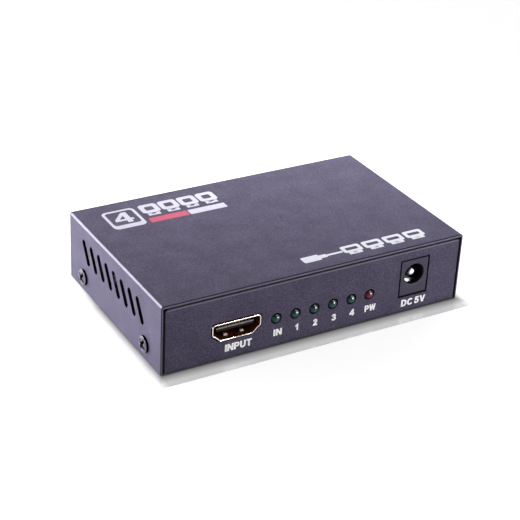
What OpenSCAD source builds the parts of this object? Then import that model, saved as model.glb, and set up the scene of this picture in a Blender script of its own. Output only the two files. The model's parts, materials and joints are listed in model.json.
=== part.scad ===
// One-to-four video signal splitter in a folded steel case.
// Millimetres. Origin on the surface it stands on, under the middle of the case.
// +X to the right, -Y towards the front panel, +Z up.

/* [Case] */
// Width over the folded cover
case_w = 96; // [92:1:120]
// Depth from the cover's front edge to its rear edge
case_d = 59.5; // [56:0.5:80]
// Height from the underside of the tray to the top of the cover
case_h = 21; // [20:0.5:30]
// Thickness of the sheet steel
sheet_t = 0.6; // [0.5:0.1:1]
// Inside radius of every fold
fold_r = 0.4; // [0.3:0.1:0.8]
// Gap between an end panel and the cover that frames it
panel_gap = 0.45; // [0.3:0.05:0.8]
// How far an end panel sits back from the cover's edge
panel_setback = 0.1; // [0:0.1:0.5]
// Height of the cover's lower edges over the standing surface
cover_lift = 0.2; // [0.1:0.1:0.8]
// Height of the tray's side flanges
flange_h = 9.2; // [8.6:0.2:9.6]
// Play between a side flange and the cover wall beside it
flange_gap = 0.1; // [0.05:0.05:0.2]
// Gap between the end of a side flange and the fold of an end panel
corner_relief = 1; // [0.6:0.2:2]

/* [Vents] */
// Slots in each side wall
vent_count = 8; // [4:1:9]
// Distance from slot to slot
vent_pitch = 5; // [4:0.25:5.5]
// Length of a slot, end to end
vent_l = 7.6; // [5:0.2:8]
// Width of a slot
vent_w = 1.6; // [0.8:0.1:2]
// Lean of the slots, upper ends towards the rear, in degrees
vent_lean = 31; // [0:1:40]
// Height of the middle of the slots
vent_z = 13.2; // [12.6:0.2:14]
// Distance of the middle of the row behind the middle of the case
vent_shift = 0.8; // [-3:0.2:3]

/* [Case screws] */
// Distance between the two screws of a side
case_screw_span = 40; // [30:1:44]
// Height of the case screws
case_screw_z = 4.6; // [4.4:0.1:6]
// Thread diameter of the case screws
case_screw_d = 3; // [2.5:0.1:3.2]
// Length of a case screw under its head
case_screw_l = 4; // [3:0.25:4.5]
// Diameter of a case screw's head
case_screw_head_d = 4.8; // [4.6:0.1:5.6]
// Height of a case screw's head
case_screw_head_h = 1.1; // [0.9:0.1:2]
// Length of the drawn collar round a tapped hole, inside the flange
collar_l = 1; // [0.6:0.1:1.2]
// Wall of the drawn collar
collar_t = 0.6; // [0.4:0.1:0.8]

/* [Board] */
// Thickness of the circuit board
board_t = 1.6; // [1:0.2:2]
// Gap between the board and a side flange
board_side_gap = 3; // [2.6:0.2:3.6]
// Gap between the board and an end panel
board_end_gap = 0.6; // [0.4:0.1:1.2]
// Height of the stand-offs over the floor of the tray
standoff_h = 3.2; // [2.5:0.1:4]
// Diameter of the stand-offs
standoff_d = 5; // [4.6:0.1:5.6]
// Width of the shoulder where a stand-off is clinched into the floor
clinch_step = 0.4; // [0.2:0.1:0.5]
// Distance of the board's screw holes from its side edges
hole_inset = 3.3; // [2.8:0.1:3.6]
// Distance of the front screw holes from the board's front edge
hole_front = 6.2; // [5:0.2:9]
// Distance of the rear screw holes from the board's rear edge
hole_rear = 16.4; // [16:0.2:20]
// Thread diameter of the board screws
board_screw_d = 3; // [2.5:0.1:3.2]
// Length of a board screw under its head
board_screw_l = 4.5; // [3.5:0.25:4.75]
// Diameter of a board screw's head
board_screw_head_d = 4.8; // [4.6:0.1:5.2]
// Height of a board screw's head
board_screw_head_h = 1.8; // [1.4:0.1:2.2]

/* [Video sockets] */
// Width of the socket's opening
socket_w = 14; // [13.6:0.1:14.4]
// Height of the socket's opening
socket_h = 4.55; // [4.3:0.05:4.8]
// Width of the narrow lower side of the opening
socket_foot_w = 9.6; // [9:0.1:10.4]
// Height of the upright sides of the opening
socket_side_h = 2.75; // [2.4:0.05:2.9]
// Width of the shoulder under each upright side
socket_shoulder_w = 0.75; // [0.5:0.05:1]
// Drop of the shoulder
socket_shoulder_h = 0.35; // [0.2:0.05:0.5]
// Corner radius of the opening
socket_r = 0.6; // [0.4:0.05:0.8]
// Thickness of the shell's sheet
socket_t = 0.4; // [0.3:0.05:0.5]
// Length of the shell
socket_l = 11.5; // [11:0.25:12.5]
// Height of the middle of the opening over the board
socket_z = 3.4; // [3.2:0.05:3.8]
// How far a shell stands out of its panel
socket_proud = 0.2; // [0:0.1:0.5]
// Gap between a shell and its panel cut-out
socket_gap = 0.45; // [0.2:0.05:0.6]
// Distance of the input socket's middle from the left side of the case
input_inset = 22.5; // [20:0.5:24]
// Distance of the outer output sockets' middles from the sides of the case
output_inset = 16.5; // [14:0.25:18]
// Width of the spring fingers
finger_w = 1.4; // [1:0.1:1.8]
// Length of the spring fingers
finger_l = 5; // [4:0.25:5.5]
// Distance between the two fingers of a wall
finger_span = 5; // [4:0.25:6]
// Distance of the finger tips from the mouth
finger_setback = 1.6; // [1.2:0.1:2]
// How far a finger bends into the opening
finger_dip = 0.45; // [0.3:0.05:0.6]
// Gap round a finger
finger_gap = 0.3; // [0.2:0.05:0.4]
// Width of a shell's solder legs
leg_w = 1.4; // [1:0.1:1.8]
// Distance of the front legs from the mouth
leg_front = 4.6; // [4:0.2:5]
// Distance between the front and rear legs
leg_span = 5; // [4:0.25:5.5]

/* [Socket inserts] */
// Width of the tongue
tongue_w = 11.4; // [11:0.1:11.8]
// Thickness of the tongue
tongue_t = 0.95; // [0.8:0.05:1.1]
// Distance of the tongue's upper face from the top of the opening
tongue_drop = 1.4; // [1.2:0.05:1.6]
// Distance of the tongue's tip from the mouth
tongue_setback = 1; // [0.6:0.1:1.5]
// Length of the block that holds the tongue
block_l = 4.3; // [3.5:0.1:4.6]
// Play between the block and the shell
block_play = 0.05; // [0.02:0.01:0.1]
// Contacts in the upper row; the lower row has one fewer
contact_count = 10; // [8:1:10]
// Distance from contact to contact in a row
contact_pitch = 1; // [0.9:0.02:1.1]
// Width of a contact
contact_w = 0.3; // [0.2:0.02:0.36]
// Thickness of a contact
contact_t = 0.15; // [0.1:0.01:0.2]
// Play between a contact and its channel
contact_play = 0.02; // [0.01:0.01:0.04]
// Length of a contact's soldered foot
foot_l = 1.2; // [0.8:0.1:1.5]

/* [Lamps] */
// Distance of the first lamp from the middle of the input socket
lamp_from_input = 12.33; // [11:0.01:14]
// Distance of the last lamp from the middle of the power jack
lamp_from_jack = 15.07; // [13:0.01:17]
// Height of the lamps over the board
lamp_z = 3.4; // [3.2:0.1:4.5]
// Diameter of a lamp
lamp_d = 3; // [2.8:0.05:3.2]
// Length of a lamp from its flange to its tip
lamp_l = 5.3; // [4.8:0.1:6]
// How far a lamp's tip stands out of the panel
lamp_proud = 0.8; // [0.3:0.1:1.2]
// Width of the step from a lamp to its flange
lamp_step = 0.4; // [0.3:0.05:0.5]
// Thickness of a lamp's flange
lamp_flange_t = 1; // [0.8:0.1:1.2]
// Gap between a lamp and its panel hole
lamp_gap = 0.2; // [0.1:0.05:0.3]
// Thickness of a lamp's square leads
lead_t = 0.5; // [0.4:0.05:0.6]
// Distance between the two leads of a lamp
lead_span = 2.54; // [2:0.02:2.6]
// Length of a lead before it turns down
lead_run = 2; // [1.5:0.1:3]

/* [Power jack] */
// Distance of the jack's middle from the right side of the case
jack_inset = 15.9; // [15.6:0.1:19]
// Width of the jack
jack_w = 9; // [8.6:0.1:9.3]
// Height of the jack
jack_h = 11; // [10.6:0.1:11.6]
// Length of the jack
jack_l = 14.2; // [13.8:0.1:15]
// Length of the full-height block at the jack's face
jack_block_l = 3.4; // [3:0.1:4]
// Wall round the barrel behind the block
jack_wall = 1.1; // [0.9:0.05:1.2]
// How far the jack's face sits behind the panel's face
jack_setback = 0.2; // [0:0.05:0.4]
// Gap between the jack and its panel cut-out
jack_gap = 0.45; // [0.2:0.05:0.5]
// Height of the barrel's axis over the board
barrel_z = 6.25; // [6:0.05:6.6]
// Diameter of the barrel
barrel_d = 6.3; // [6:0.1:6.5]
// Depth of the barrel
barrel_l = 9.6; // [9:0.1:10]
// Width of the bevel at the barrel's mouth
barrel_bevel = 0.25; // [0.1:0.05:0.4]
// Thickness of the wall that carries the pin
back_t = 2; // [1.6:0.1:2.4]
// Diameter of the centre pin
pin_d = 2.1; // [2:0.05:2.6]
// Distance of the pin's tip from the jack's face
pin_setback = 1; // [0.6:0.1:3]
// Length of the pin's rounded tip
pin_tip_l = 0.8; // [0.5:0.1:1]
// Width of the step from the pin to its riveted shank
pin_step = 0.25; // [0.2:0.05:0.3]

/* [Jack contacts] */
// Thickness of the jack's sheet contacts
blade_t = 0.3; // [0.2:0.02:0.36]
// Width of the spring leaf
leaf_w = 2.6; // [2.2:0.1:2.8]
// Gap between the leaf and the sides of its slot
leaf_gap = 0.3; // [0.2:0.05:0.4]
// How far the leaf's crest stands into the barrel
leaf_crest = 0.75; // [0.5:0.05:0.85]
// Depth of the leaf's crest behind the jack's face
leaf_crest_y = 4.6; // [4.4:0.1:5]
// Depth of the leaf's hinge line behind the jack's face
leaf_root_y = 10.2; // [9.8:0.1:10.4]
// Height of the leaf's hinge line over the board
leaf_root_z = 1.7; // [1.4:0.1:2]
// Depth of the leaf's front edge behind the jack's face
leaf_tip_y = 2.1; // [2:0.05:2.3]
// Drop of the leaf's front edge under the barrel
leaf_tip_drop = 1; // [0.5:0.05:1.2]
// Length of the flat at the leaf's front edge
leaf_tip_l = 0.6; // [0.5:0.05:0.7]
// Radius of the rolled end at the leaf's hinge line
leaf_roll_r = 0.3; // [0.25:0.05:0.35]
// Gap between the leaf and the fixed contacts at rest
leaf_play = 0.1; // [0.06:0.02:0.16]
// Width of the pin's terminal
terminal_w = 2.4; // [2:0.1:2.8]

/* [Board parts] */
// Side of the splitter chip
chip_w = 14; // [10:0.5:14]
// Thickness of the splitter chip
chip_h = 1.4; // [1:0.1:1.6]
// Pins along each side of the splitter chip
chip_side_pins = 25; // [16:1:25]
// Distance from pin to pin on the splitter chip
chip_pin_pitch = 0.5; // [0.4:0.02:0.52]
// Distance of the splitter chip in front of the board's middle
chip_y = 1.5; // [0:0.5:3]
// Diameter of the capacitor cans
can_d = 6.3; // [5:0.1:6.3]
// Height of the capacitor cans
can_h = 5.8; // [4.5:0.1:8]
// Distance from capacitor to capacitor
can_pitch = 8; // [7.5:0.1:9]
// Length of the crystal's can
crystal_l = 11; // [9:0.1:11.5]
// Width of the crystal's can
crystal_w = 4.6; // [3.8:0.1:5]
// Height of the crystal's can
crystal_h = 3.5; // [2.5:0.1:4.2]
// Distance of the crystal behind the board's middle
crystal_y = 4; // [0:0.5:5]
// Length of the memory chip
memory_l = 4.9; // [4.4:0.1:5.2]
// Width of the memory chip
memory_w = 3.9; // [3.5:0.1:4.4]
// Thickness of the memory chip
memory_h = 1.5; // [1.2:0.1:1.7]
// Length of a regulator's body
regulator_l = 6.5; // [6:0.1:6.7]
// Width of a regulator's body
regulator_w = 3.5; // [3.3:0.1:3.7]
// Thickness of a regulator's body
regulator_h = 1.6; // [1.4:0.1:1.8]
// Distance from regulator to regulator
regulator_span = 9; // [8:0.25:10]
// Length of a chip resistor
resistor_l = 1; // [0.8:0.1:1.2]
// Width of a chip resistor
resistor_w = 0.5; // [0.4:0.05:0.6]
// Thickness of a chip resistor
resistor_h = 0.35; // [0.25:0.05:0.5]
// Distance from resistor to resistor in a row
resistor_pitch = 1.2; // [1:0.05:1.3]
// Length of a chip capacitor
capacitor_l = 1.6; // [1.2:0.1:2]
// Width of a chip capacitor
capacitor_w = 0.8; // [0.6:0.05:1]
// Thickness of a chip capacitor
capacitor_h = 0.8; // [0.5:0.05:1]
// Distance from capacitor to capacitor beside the splitter chip
capacitor_pitch = 2.6; // [2.4:0.1:3]

/* [Hidden] */
$fn = 64;
OUTPUT_COUNT = 4;
OUTPUTS = [1 : OUTPUT_COUNT];
LAMPS = ["input", "1", "2", "3", "4", "power"];
LAMP_COUNT = len(LAMPS);

// Named colours, as the parts look
steel_paint = "#4b4757";
screw_black = "#2c2a31";
shell_metal = "#d9cfb8";
contact_gold = "#c9a252";
moulded_black = "#232226";
tin = "#c4c6c8";
board_green = "#1f5a38";
lamp_green = "#1e4a3a";
lamp_red = "#6a1f2c";

// Overshoot of a cut past the face it leaves
over = 1;
// Steps of a rounded corner, in degrees
arc_step = 15;
// Play of a screw thread in its tapped hole, and of a screw through a clearance hole
thread_play = 0.05;
pass_play = 0.25;
// Play of a lead, leg or terminal in its hole in the board
solder_play = 0.2;
// Length of a lead, leg or terminal under the board
solder_out = 1;
// Share of a screw head's height that is its upright rim
rim_share = 0.65;
// Cross recess: length and width as shares of the head's diameter, depth as a share of its height
cross_l_share = 0.58;
cross_w_share = 0.2;
cross_deep_share = 0.55;

// Case
fold_out_r = fold_r + sheet_t;
cover_in_w = case_w - 2 * sheet_t;
panel_w = cover_in_w - 2 * panel_gap;
panel_h = case_h - sheet_t - panel_gap;
panel_y = case_d / 2 - panel_setback;
flange_x = cover_in_w / 2 - flange_gap;
flange_l = 2 * (panel_y - fold_out_r - corner_relief);
fold_x = flange_x - fold_out_r;

// Board and what stands on it
board_z = sheet_t + standoff_h;
board_top = board_z + board_t;
board_w = 2 * (flange_x - sheet_t - board_side_gap);
board_y = panel_y - sheet_t - board_end_gap;
hole_x = board_w / 2 - hole_inset;
hole_places = [for (x = [-hole_x, hole_x], y = [hole_front - board_y, board_y - hole_rear]) [x, y]];
clinch_d = standoff_d - 2 * clinch_step;

// Video sockets, in a frame whose origin is on the board under the mouth, depth along +Y
mouth_y = panel_y + socket_proud;
input_x = input_inset - case_w / 2;
output_x = case_w / 2 - output_inset;
output_pitch = 2 * output_x / (OUTPUT_COUNT - 1);
socket_top = socket_z + socket_h / 2;
socket_low = socket_z - socket_h / 2;
block_y = socket_l - block_l;
tongue_top = socket_top - tongue_drop;
contact_tip = tongue_setback + 2 * contact_w;
tail_y = socket_l + contact_play + contact_t / 2;
leg_places = [leg_front, leg_front + leg_span];

// Lamps, spread evenly between the input socket and the power jack
jack_x = case_w / 2 - jack_inset;
lamp_x = input_x + lamp_from_input;
lamp_pitch = (jack_x - lamp_from_jack - lamp_x) / (LAMP_COUNT - 1);
lamp_hole_r = lamp_d / 2 + lamp_gap;
lamp_base_y = lamp_l - lamp_proud - panel_y;

// Power jack, in a frame whose origin is on the board under the face, depth along +Y
jack_y = jack_setback - panel_y;
barrel_low = barrel_z - barrel_d / 2;
back_y = barrel_l + back_t;
shank_d = pin_d - 2 * pin_step;
slot_w = leaf_w + 2 * leaf_gap;
slot_y = leaf_tip_y - leaf_gap;
leaf_tip_z = barrel_low - leaf_tip_drop;
anchor_y = leaf_root_y + leaf_roll_r + leaf_play + blade_t / 2;
anchor_z = leaf_root_z + leaf_roll_r + leaf_play + blade_t / 2;
slot_end = anchor_y + blade_t / 2 + leaf_play;
switch_x = slot_w / 2;
switch_z = leaf_tip_z + blade_t / 2 + leaf_play;
switch_l = leaf_crest_y - leaf_tip_y - leaf_tip_l;

// Gull pins of the packages
chip_lift = 0.1;
pin_t = 0.15;
pin_w = 0.22;
pin_reach = 1;
memory_pin_pitch = 1.27;
memory_pin_w = 0.4;
memory_pin_count = 4;
regulator_lead_pitch = 2.3;
regulator_lead_w = 0.7;
regulator_lead_count = 3;
regulator_tab_w = 3;

// Bases under the cans
can_base_t = 1.2;
can_base_step = 0.2;
crystal_base_t = 0.5;
crystal_base_step = 0.3;

// Rows of parts on the board, each set off from its neighbour by one gap
small_part_gap = 1.2;
resistor_count = 8;
capacitor_count = 5;
can_count = 2;
regulator_count = 2;
resistor_row_y = tail_y + foot_l + small_part_gap;
memory_at = [input_x, resistor_row_y + resistor_l + small_part_gap + pin_reach + memory_w / 2 - mouth_y];
capacitor_row_x = chip_w / 2 + pin_reach + small_part_gap;
crystal_at = [-capacitor_row_x - capacitor_w - small_part_gap - crystal_l / 2, crystal_y];
can_half = can_d / 2 + can_base_step;
can_y = jack_y + jack_l + small_part_gap + can_half;
regulator_y = can_y + can_half + small_part_gap + pin_reach + regulator_w / 2;

// Outlines

function unit(v) = v / norm(v);

// Outward normal of an edge of a counter-clockwise loop
function edge_normal(a, b) = unit([b.y - a.y, a.x - b.x]);

// Signed turn at a corner, in degrees, positive on a convex corner of a counter-clockwise loop
function turn(a, v, b) =
    let (d = unit(v - a), e = unit(b - v))
    atan2(d.x * e.y - d.y * e.x, d * e);

// The point where the two edges at a corner meet after both have moved outwards
function grown_corner(a, v, b, by) =
    let (m = edge_normal(a, v), n = edge_normal(v, b))
    v + by * (m + n) / (1 + m * n);

// Points of the arc that rounds a corner
function corner_arc(a, v, b, r) =
    let (
        angle = turn(a, v, b),
        side = sign(angle),
        start = v - unit(v - a) * r * tan(abs(angle) / 2),
        outward = side * edge_normal(a, v),
        centre = start - outward * r,
        from = atan2(outward.y, outward.x),
        steps = ceil(abs(angle) / arc_step)
    )
    [for (k = [0 : steps]) centre + r * [cos(from + angle * k / steps), sin(from + angle * k / steps)]];

// A loop moved outwards and rounded, so that its walls stay parallel to the first loop's
function grown_loop(loop, by, r) =
    let (
        n = len(loop),
        moved = [for (i = [0 : n - 1]) grown_corner(loop[(i + n - 1) % n], loop[i], loop[(i + 1) % n], by)]
    )
    [
        for (i = [0 : n - 1])
            let (a = moved[(i + n - 1) % n], v = moved[i], b = moved[(i + 1) % n])
            each corner_arc(a, v, b, max(socket_t / 2, turn(a, v, b) > 0 ? r + by : r - by))
    ];

// Middle points of a bent strip moved sideways, mitred at the bends
function strip_side(path, by) =
    let (last = len(path) - 1)
    [
        for (i = [0 : last])
            i == 0 ? path[0] + by * edge_normal(path[0], path[1])
            : i == last ? path[last] + by * edge_normal(path[last - 1], path[last])
            : grown_corner(path[i - 1], path[i], path[i + 1], by)
    ];

function reversed(points) = [for (i = [len(points) - 1 : -1 : 0]) points[i]];

// A strip of sheet bent along a path of [depth, height] points, centred across X
module bent_strip(path, t, w) {
    rotate([90, 0, 90])
        linear_extrude(w, center = true)
            polygon(concat(strip_side(path, t / 2), reversed(strip_side(path, -t / 2))));
}

// Sheet metal

// A rectangle standing on the X axis with its two lower corners rounded
module folded_outline(w, h, r) {
    translate([r - w / 2, 0])
        square([w - 2 * r, h]);
    translate([-w / 2, r])
        square([w, h - r]);
    for (side = [-1, 1])
        translate([side * (w / 2 - r), r])
            circle(r);
}

// A channel of sheet, open upwards, with its folds below, lying along the Y axis
module channel(w, h, l) {
    rotate([90, 0, 0])
        linear_extrude(l, center = true)
            difference() {
                folded_outline(w, h, fold_out_r);
                translate([0, sheet_t])
                    folded_outline(w - 2 * sheet_t, h, fold_r);
            }
}

// The row of leaning vent slots, cut through both side walls
module vent_slots() {
    reach = (vent_l - vent_w) / 2;
    for (i = [0 : vent_count - 1])
        translate([0, vent_shift + (i - (vent_count - 1) / 2) * vent_pitch, vent_z])
            rotate([90, 0, 90])
                linear_extrude(case_w + 2 * over, center = true)
                    rotate(-vent_lean) {
                        square([vent_w, 2 * reach], center = true);
                        for (end = [-1, 1])
                            translate([0, end * reach])
                                circle(d = vent_w);
                    }
}

// Puts a child, whose axis is +Z out of the wall, at each case screw
module at_case_screws(x) {
    for (side = [-1, 1], y = [-case_screw_span / 2, case_screw_span / 2])
        translate([side * x, y, case_screw_z])
            rotate([0, side * 90, 0])
                children();
}

module top_cover() {
    color(steel_paint)
        difference() {
            translate([0, 0, case_h])
                mirror([0, 0, 1])
                    channel(case_w, case_h - cover_lift, case_d);
            vent_slots();
            at_case_screws(case_w / 2)
                translate([0, 0, -sheet_t - over])
                    cylinder(d = case_screw_d + 2 * pass_play, h = sheet_t + 2 * over);
        }
}

// Floor and end panels, folded up from one sheet, with the corners cut back for the side flanges
module tray_panels() {
    relief_w = panel_w / 2 - fold_x + over;
    difference() {
        intersection() {
            rotate(90)
                channel(2 * panel_y, case_h, panel_w);
            translate([-panel_w / 2, -panel_y, 0])
                cube([panel_w, 2 * panel_y, panel_h]);
        }
        for (side = [-1, 1])
            translate([side * (fold_x + relief_w / 2), 0, fold_out_r / 2])
                cube([relief_w, flange_l + 2 * corner_relief, fold_out_r + 2 * over], center = true);
    }
}

// Floor and side flanges, with drawn collars at the tapped holes
module tray_flanges() {
    channel(2 * flange_x, flange_h, flange_l);
    at_case_screws(flange_x)
        translate([0, 0, -sheet_t - collar_l])
            cylinder(d = case_screw_d + 2 * (thread_play + collar_t), h = collar_l + sheet_t / 2);
}

module base_tray() {
    color(steel_paint)
        difference() {
            union() {
                tray_panels();
                tray_flanges();
            }
            at_case_screws(flange_x)
                translate([0, 0, -sheet_t - collar_l - over])
                    cylinder(d = case_screw_d + 2 * thread_play, h = sheet_t + collar_l + 2 * over);
            for (place = hole_places)
                translate([place.x, place.y, -over])
                    cylinder(d = clinch_d + 2 * thread_play, h = sheet_t + 2 * over);
            at_sockets()
                translate([0, -over, 0])
                    socket_prism(socket_t + socket_gap, sheet_t + socket_proud + 2 * over);
            at_lamps()
                translate([0, -panel_y - over, 0])
                    rotate([-90, 0, 0])
                        cylinder(r = lamp_hole_r, h = sheet_t + 2 * over);
            at_jack()
                translate([-jack_w / 2 - jack_gap, -jack_setback - over, -jack_gap])
                    cube([jack_w + 2 * jack_gap, sheet_t + 2 * over, jack_h + 2 * jack_gap]);
        }
}

// Fasteners

// A pan-head screw with a cross recess, its seat at z = 0 and its axis along Z
module pan_screw(d, l, head_d, head_h) {
    crown = head_h * (1 - rim_share);
    crown_r = (head_d * head_d / 4 + crown * crown) / (2 * crown);
    difference() {
        intersection() {
            cylinder(d = head_d, h = head_h);
            translate([0, 0, head_h - crown_r])
                sphere(crown_r);
        }
        for (arm = [0, 90])
            rotate(arm)
                translate([0, 0, head_h])
                    cube([head_d * cross_l_share, head_d * cross_w_share, 2 * head_h * cross_deep_share],
                         center = true);
    }
    translate([0, 0, -l])
        cylinder(d = d, h = l);
}

module case_screws() {
    color(screw_black)
        at_case_screws(case_w / 2)
            pan_screw(case_screw_d, case_screw_l, case_screw_head_d, case_screw_head_h);
}

module board_screws() {
    color(tin)
        for (place = hole_places)
            translate([place.x, place.y, board_top])
                pan_screw(board_screw_d, board_screw_l, board_screw_head_d, board_screw_head_h);
}

module board_standoffs() {
    color(tin)
        for (place = hole_places)
            translate([place.x, place.y, 0])
                difference() {
                    union() {
                        cylinder(d = clinch_d, h = board_z);
                        translate([0, 0, sheet_t])
                            cylinder(d = standoff_d, h = standoff_h);
                    }
                    translate([0, 0, -over])
                        cylinder(d = board_screw_d + 2 * thread_play, h = board_z + 2 * over);
                }
}

// Circuit board

module circuit_board() {
    cut_h = board_t + 2 * over;
    color(board_green)
        difference() {
            translate([-board_w / 2, -board_y, board_z])
                cube([board_w, 2 * board_y, board_t]);
            for (place = hole_places)
                translate([place.x, place.y, board_z - over])
                    cylinder(d = board_screw_d + 2 * pass_play, h = cut_h);
            at_sockets()
                for (side = [-1, 1], y = leg_places)
                    board_slot([side * (socket_w + socket_t) / 2, y], [socket_t, leg_w]);
            at_lamps()
                for (side = [-1, 1])
                    translate([side * lead_span / 2, lamp_base_y + lead_run, -lamp_z - board_t - over])
                        cylinder(d = norm([lead_t, lead_t]) + 2 * solder_play, h = cut_h);
            at_jack() {
                board_slot([0, anchor_y], [leaf_w, blade_t]);
                board_slot([0, back_y + blade_t / 2], [terminal_w, blade_t]);
                board_slot([switch_x + blade_t / 2, leaf_tip_y + switch_l / 2], [blade_t, switch_l]);
            }
        }
}

// A slot through the board for a leg of the given section, in a frame whose origin is on the board
module board_slot(at, section) {
    translate([at.x, at.y, -board_t / 2])
        cube([section.x + 2 * solder_play, section.y + 2 * solder_play, board_t + 2 * over], center = true);
}

// Video sockets

module at_input() {
    translate([input_x, -mouth_y, board_top])
        children();
}

// Outputs are counted from the left as seen from behind
module at_output(i) {
    translate([output_x - (i - 1) * output_pitch, mouth_y, board_top])
        rotate(180)
            children();
}

module at_sockets() {
    at_input()
        children();
    for (i = OUTPUTS)
        at_output(i)
            children();
}

// Corners of the opening, wide side up, counter-clockwise from the lower left
socket_loop = let (
        half = socket_w / 2,
        foot = socket_foot_w / 2,
        side_z = socket_top - socket_side_h,
        shoulder_z = side_z - socket_shoulder_h
    )
    [
        [-foot, socket_low],
        [foot, socket_low],
        [half - socket_shoulder_w, shoulder_z],
        [half, side_z],
        [half, socket_top],
        [-half, socket_top],
        [-half, side_z],
        [socket_shoulder_w - half, shoulder_z]
    ];

// A prism of the opening's outline, grown on all sides, running back from the mouth
module socket_prism(by, l) {
    translate([0, l, 0])
        rotate([90, 0, 0])
            linear_extrude(l)
                polygon(grown_loop(socket_loop, by, socket_r));
}

// A spring finger under a wall whose middle is at height z, bent down for way = -1 and up for way = 1
module spring_finger(z, way) {
    tip = finger_setback;
    root = finger_setback + finger_l;
    crest = tip + finger_l / 4;
    bent_strip([
        [root + finger_gap + socket_t, z],
        [root - finger_l / 4, z],
        [crest, z + way * (finger_dip + socket_t / 2)],
        [tip, z + way * finger_dip / 2]
    ], socket_t / 2, finger_w);
}

module socket_shell() {
    walls = [[socket_top + socket_t / 2, -1], [socket_low - socket_t / 2, 1]];
    window_w = finger_w + 2 * finger_gap;
    window_l = finger_l + finger_gap;
    color(shell_metal) {
        difference() {
            socket_prism(socket_t, socket_l);
            translate([0, -over, 0])
                socket_prism(0, socket_l + 2 * over);
            for (wall = walls, side = [-1, 1])
                translate([side * finger_span / 2, finger_setback - finger_gap + window_l / 2, wall[0]])
                    cube([window_w, window_l, 2 * socket_t], center = true);
        }
        for (wall = walls, side = [-1, 1])
            translate([side * finger_span / 2, 0, 0])
                spring_finger(wall[0], wall[1]);
        for (side = [-1, 1], y = leg_places)
            translate([side * (socket_w + socket_t) / 2, y, (socket_z - board_t - solder_out) / 2])
                cube([socket_t, leg_w, socket_z + board_t + solder_out], center = true);
    }
}

// Middle line of a contact that lies along the tongue at height z and turns down to the board
function contact_path(z) = [
    [contact_tip, z],
    [tail_y, z],
    [tail_y, contact_t / 2],
    [tail_y + foot_l, contact_t / 2]
];

// The upper row lies on the tongue, and the lower row hangs under it, half a pitch aside
module contact_rows(play) {
    rows = [
        [contact_count, tongue_top + contact_t / 2 + contact_play],
        [contact_count - 1, tongue_top - tongue_t - contact_t / 2 - contact_play]
    ];
    for (row = rows, i = [0 : row[0] - 1])
        translate([(i - (row[0] - 1) / 2) * contact_pitch, 0, 0])
            bent_strip(contact_path(row[1]), contact_t + 2 * play, contact_w + 2 * play);
}

module socket_insulator() {
    color(moulded_black) {
        difference() {
            translate([0, block_y, 0])
                socket_prism(-block_play, block_l);
            contact_rows(contact_play);
        }
        translate([-tongue_w / 2, tongue_setback, tongue_top - tongue_t])
            cube([tongue_w, block_y - tongue_setback + block_play, tongue_t]);
    }
}

module socket_contacts() {
    color(contact_gold)
        contact_rows(0);
}

// Lamps

module at_lamp(i) {
    translate([lamp_x + i * lamp_pitch, 0, board_top + lamp_z])
        children();
}

module at_lamps() {
    for (i = [0 : LAMP_COUNT - 1])
        at_lamp(i)
            children();
}

// A round-nosed lens on a flange, pointing to the front
module lamp(i) {
    r = lamp_d / 2;
    color(LAMPS[i] == "power" ? lamp_red : lamp_green)
        at_lamp(i)
            translate([0, lamp_base_y, 0])
                rotate([90, 0, 0])
                    rotate_extrude() {
                        square([r + lamp_step, lamp_flange_t]);
                        square([r, lamp_l - r]);
                        translate([0, lamp_l - r])
                            intersection() {
                                circle(r);
                                square(r);
                            }
                    }
}

module lamp_leads(i) {
    color(tin)
        at_lamp(i)
            for (side = [-1, 1])
                translate([side * lead_span / 2, lamp_base_y, 0])
                    bent_strip([[0, 0], [lead_run, 0], [lead_run, -lamp_z - board_t - solder_out]],
                               lead_t, lead_t);
}

// Power jack

module at_jack() {
    translate([jack_x, jack_y, board_top])
        children();
}

// A cylinder along the barrel's axis between two depths
module on_axis(d, from, to) {
    translate([0, from, barrel_z])
        rotate([-90, 0, 0])
            cylinder(d = d, h = to - from);
}

module jack_housing() {
    sleeve_d = barrel_d + 2 * jack_wall;
    mouth_h = barrel_bevel + over;
    pocket_w = switch_x + blade_t + leaf_gap;
    pocket_h = switch_z + blade_t + leaf_gap;
    color(moulded_black)
        at_jack()
            difference() {
                union() {
                    translate([-jack_w / 2, 0, 0])
                        cube([jack_w, jack_block_l, jack_h]);
                    on_axis(sleeve_d, jack_block_l, jack_l);
                    translate([-sleeve_d / 2, jack_block_l, 0])
                        cube([sleeve_d, jack_l - jack_block_l, barrel_z]);
                }
                on_axis(barrel_d, -over, barrel_l);
                translate([0, -over, barrel_z])
                    rotate([-90, 0, 0])
                        cylinder(d1 = barrel_d + 2 * mouth_h, d2 = barrel_d, h = mouth_h);
                on_axis(shank_d + 2 * thread_play, barrel_l - over, back_y + over);
                // slot for the spring leaf, open to the barrel and to the board
                translate([-slot_w / 2, slot_y, -over])
                    cube([slot_w, slot_end - slot_y, barrel_low + leaf_crest + over]);
                // pocket for the switch blade, beside the slot
                translate([0, slot_y, -over])
                    cube([pocket_w, switch_l + 2 * leaf_gap, pocket_h + over]);
                // open back, round the pin's terminal
                translate([-terminal_w / 2 - jack_wall, back_y, -over])
                    cube([terminal_w + 2 * jack_wall, jack_l, barrel_z + terminal_w / 2 + jack_wall + over]);
            }
}

// The centre pin: rounded tip, shank through the back wall and terminal, riveted end
module jack_pin() {
    color(tin)
        at_jack() {
            translate([0, pin_setback, barrel_z])
                rotate([-90, 0, 0])
                    cylinder(d1 = shank_d, d2 = pin_d, h = pin_tip_l);
            on_axis(pin_d, pin_setback + pin_tip_l, barrel_l);
            on_axis(shank_d, barrel_l - over, back_y + 2 * blade_t);
            on_axis(pin_d, back_y + blade_t, back_y + 2 * blade_t);
        }
}

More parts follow.
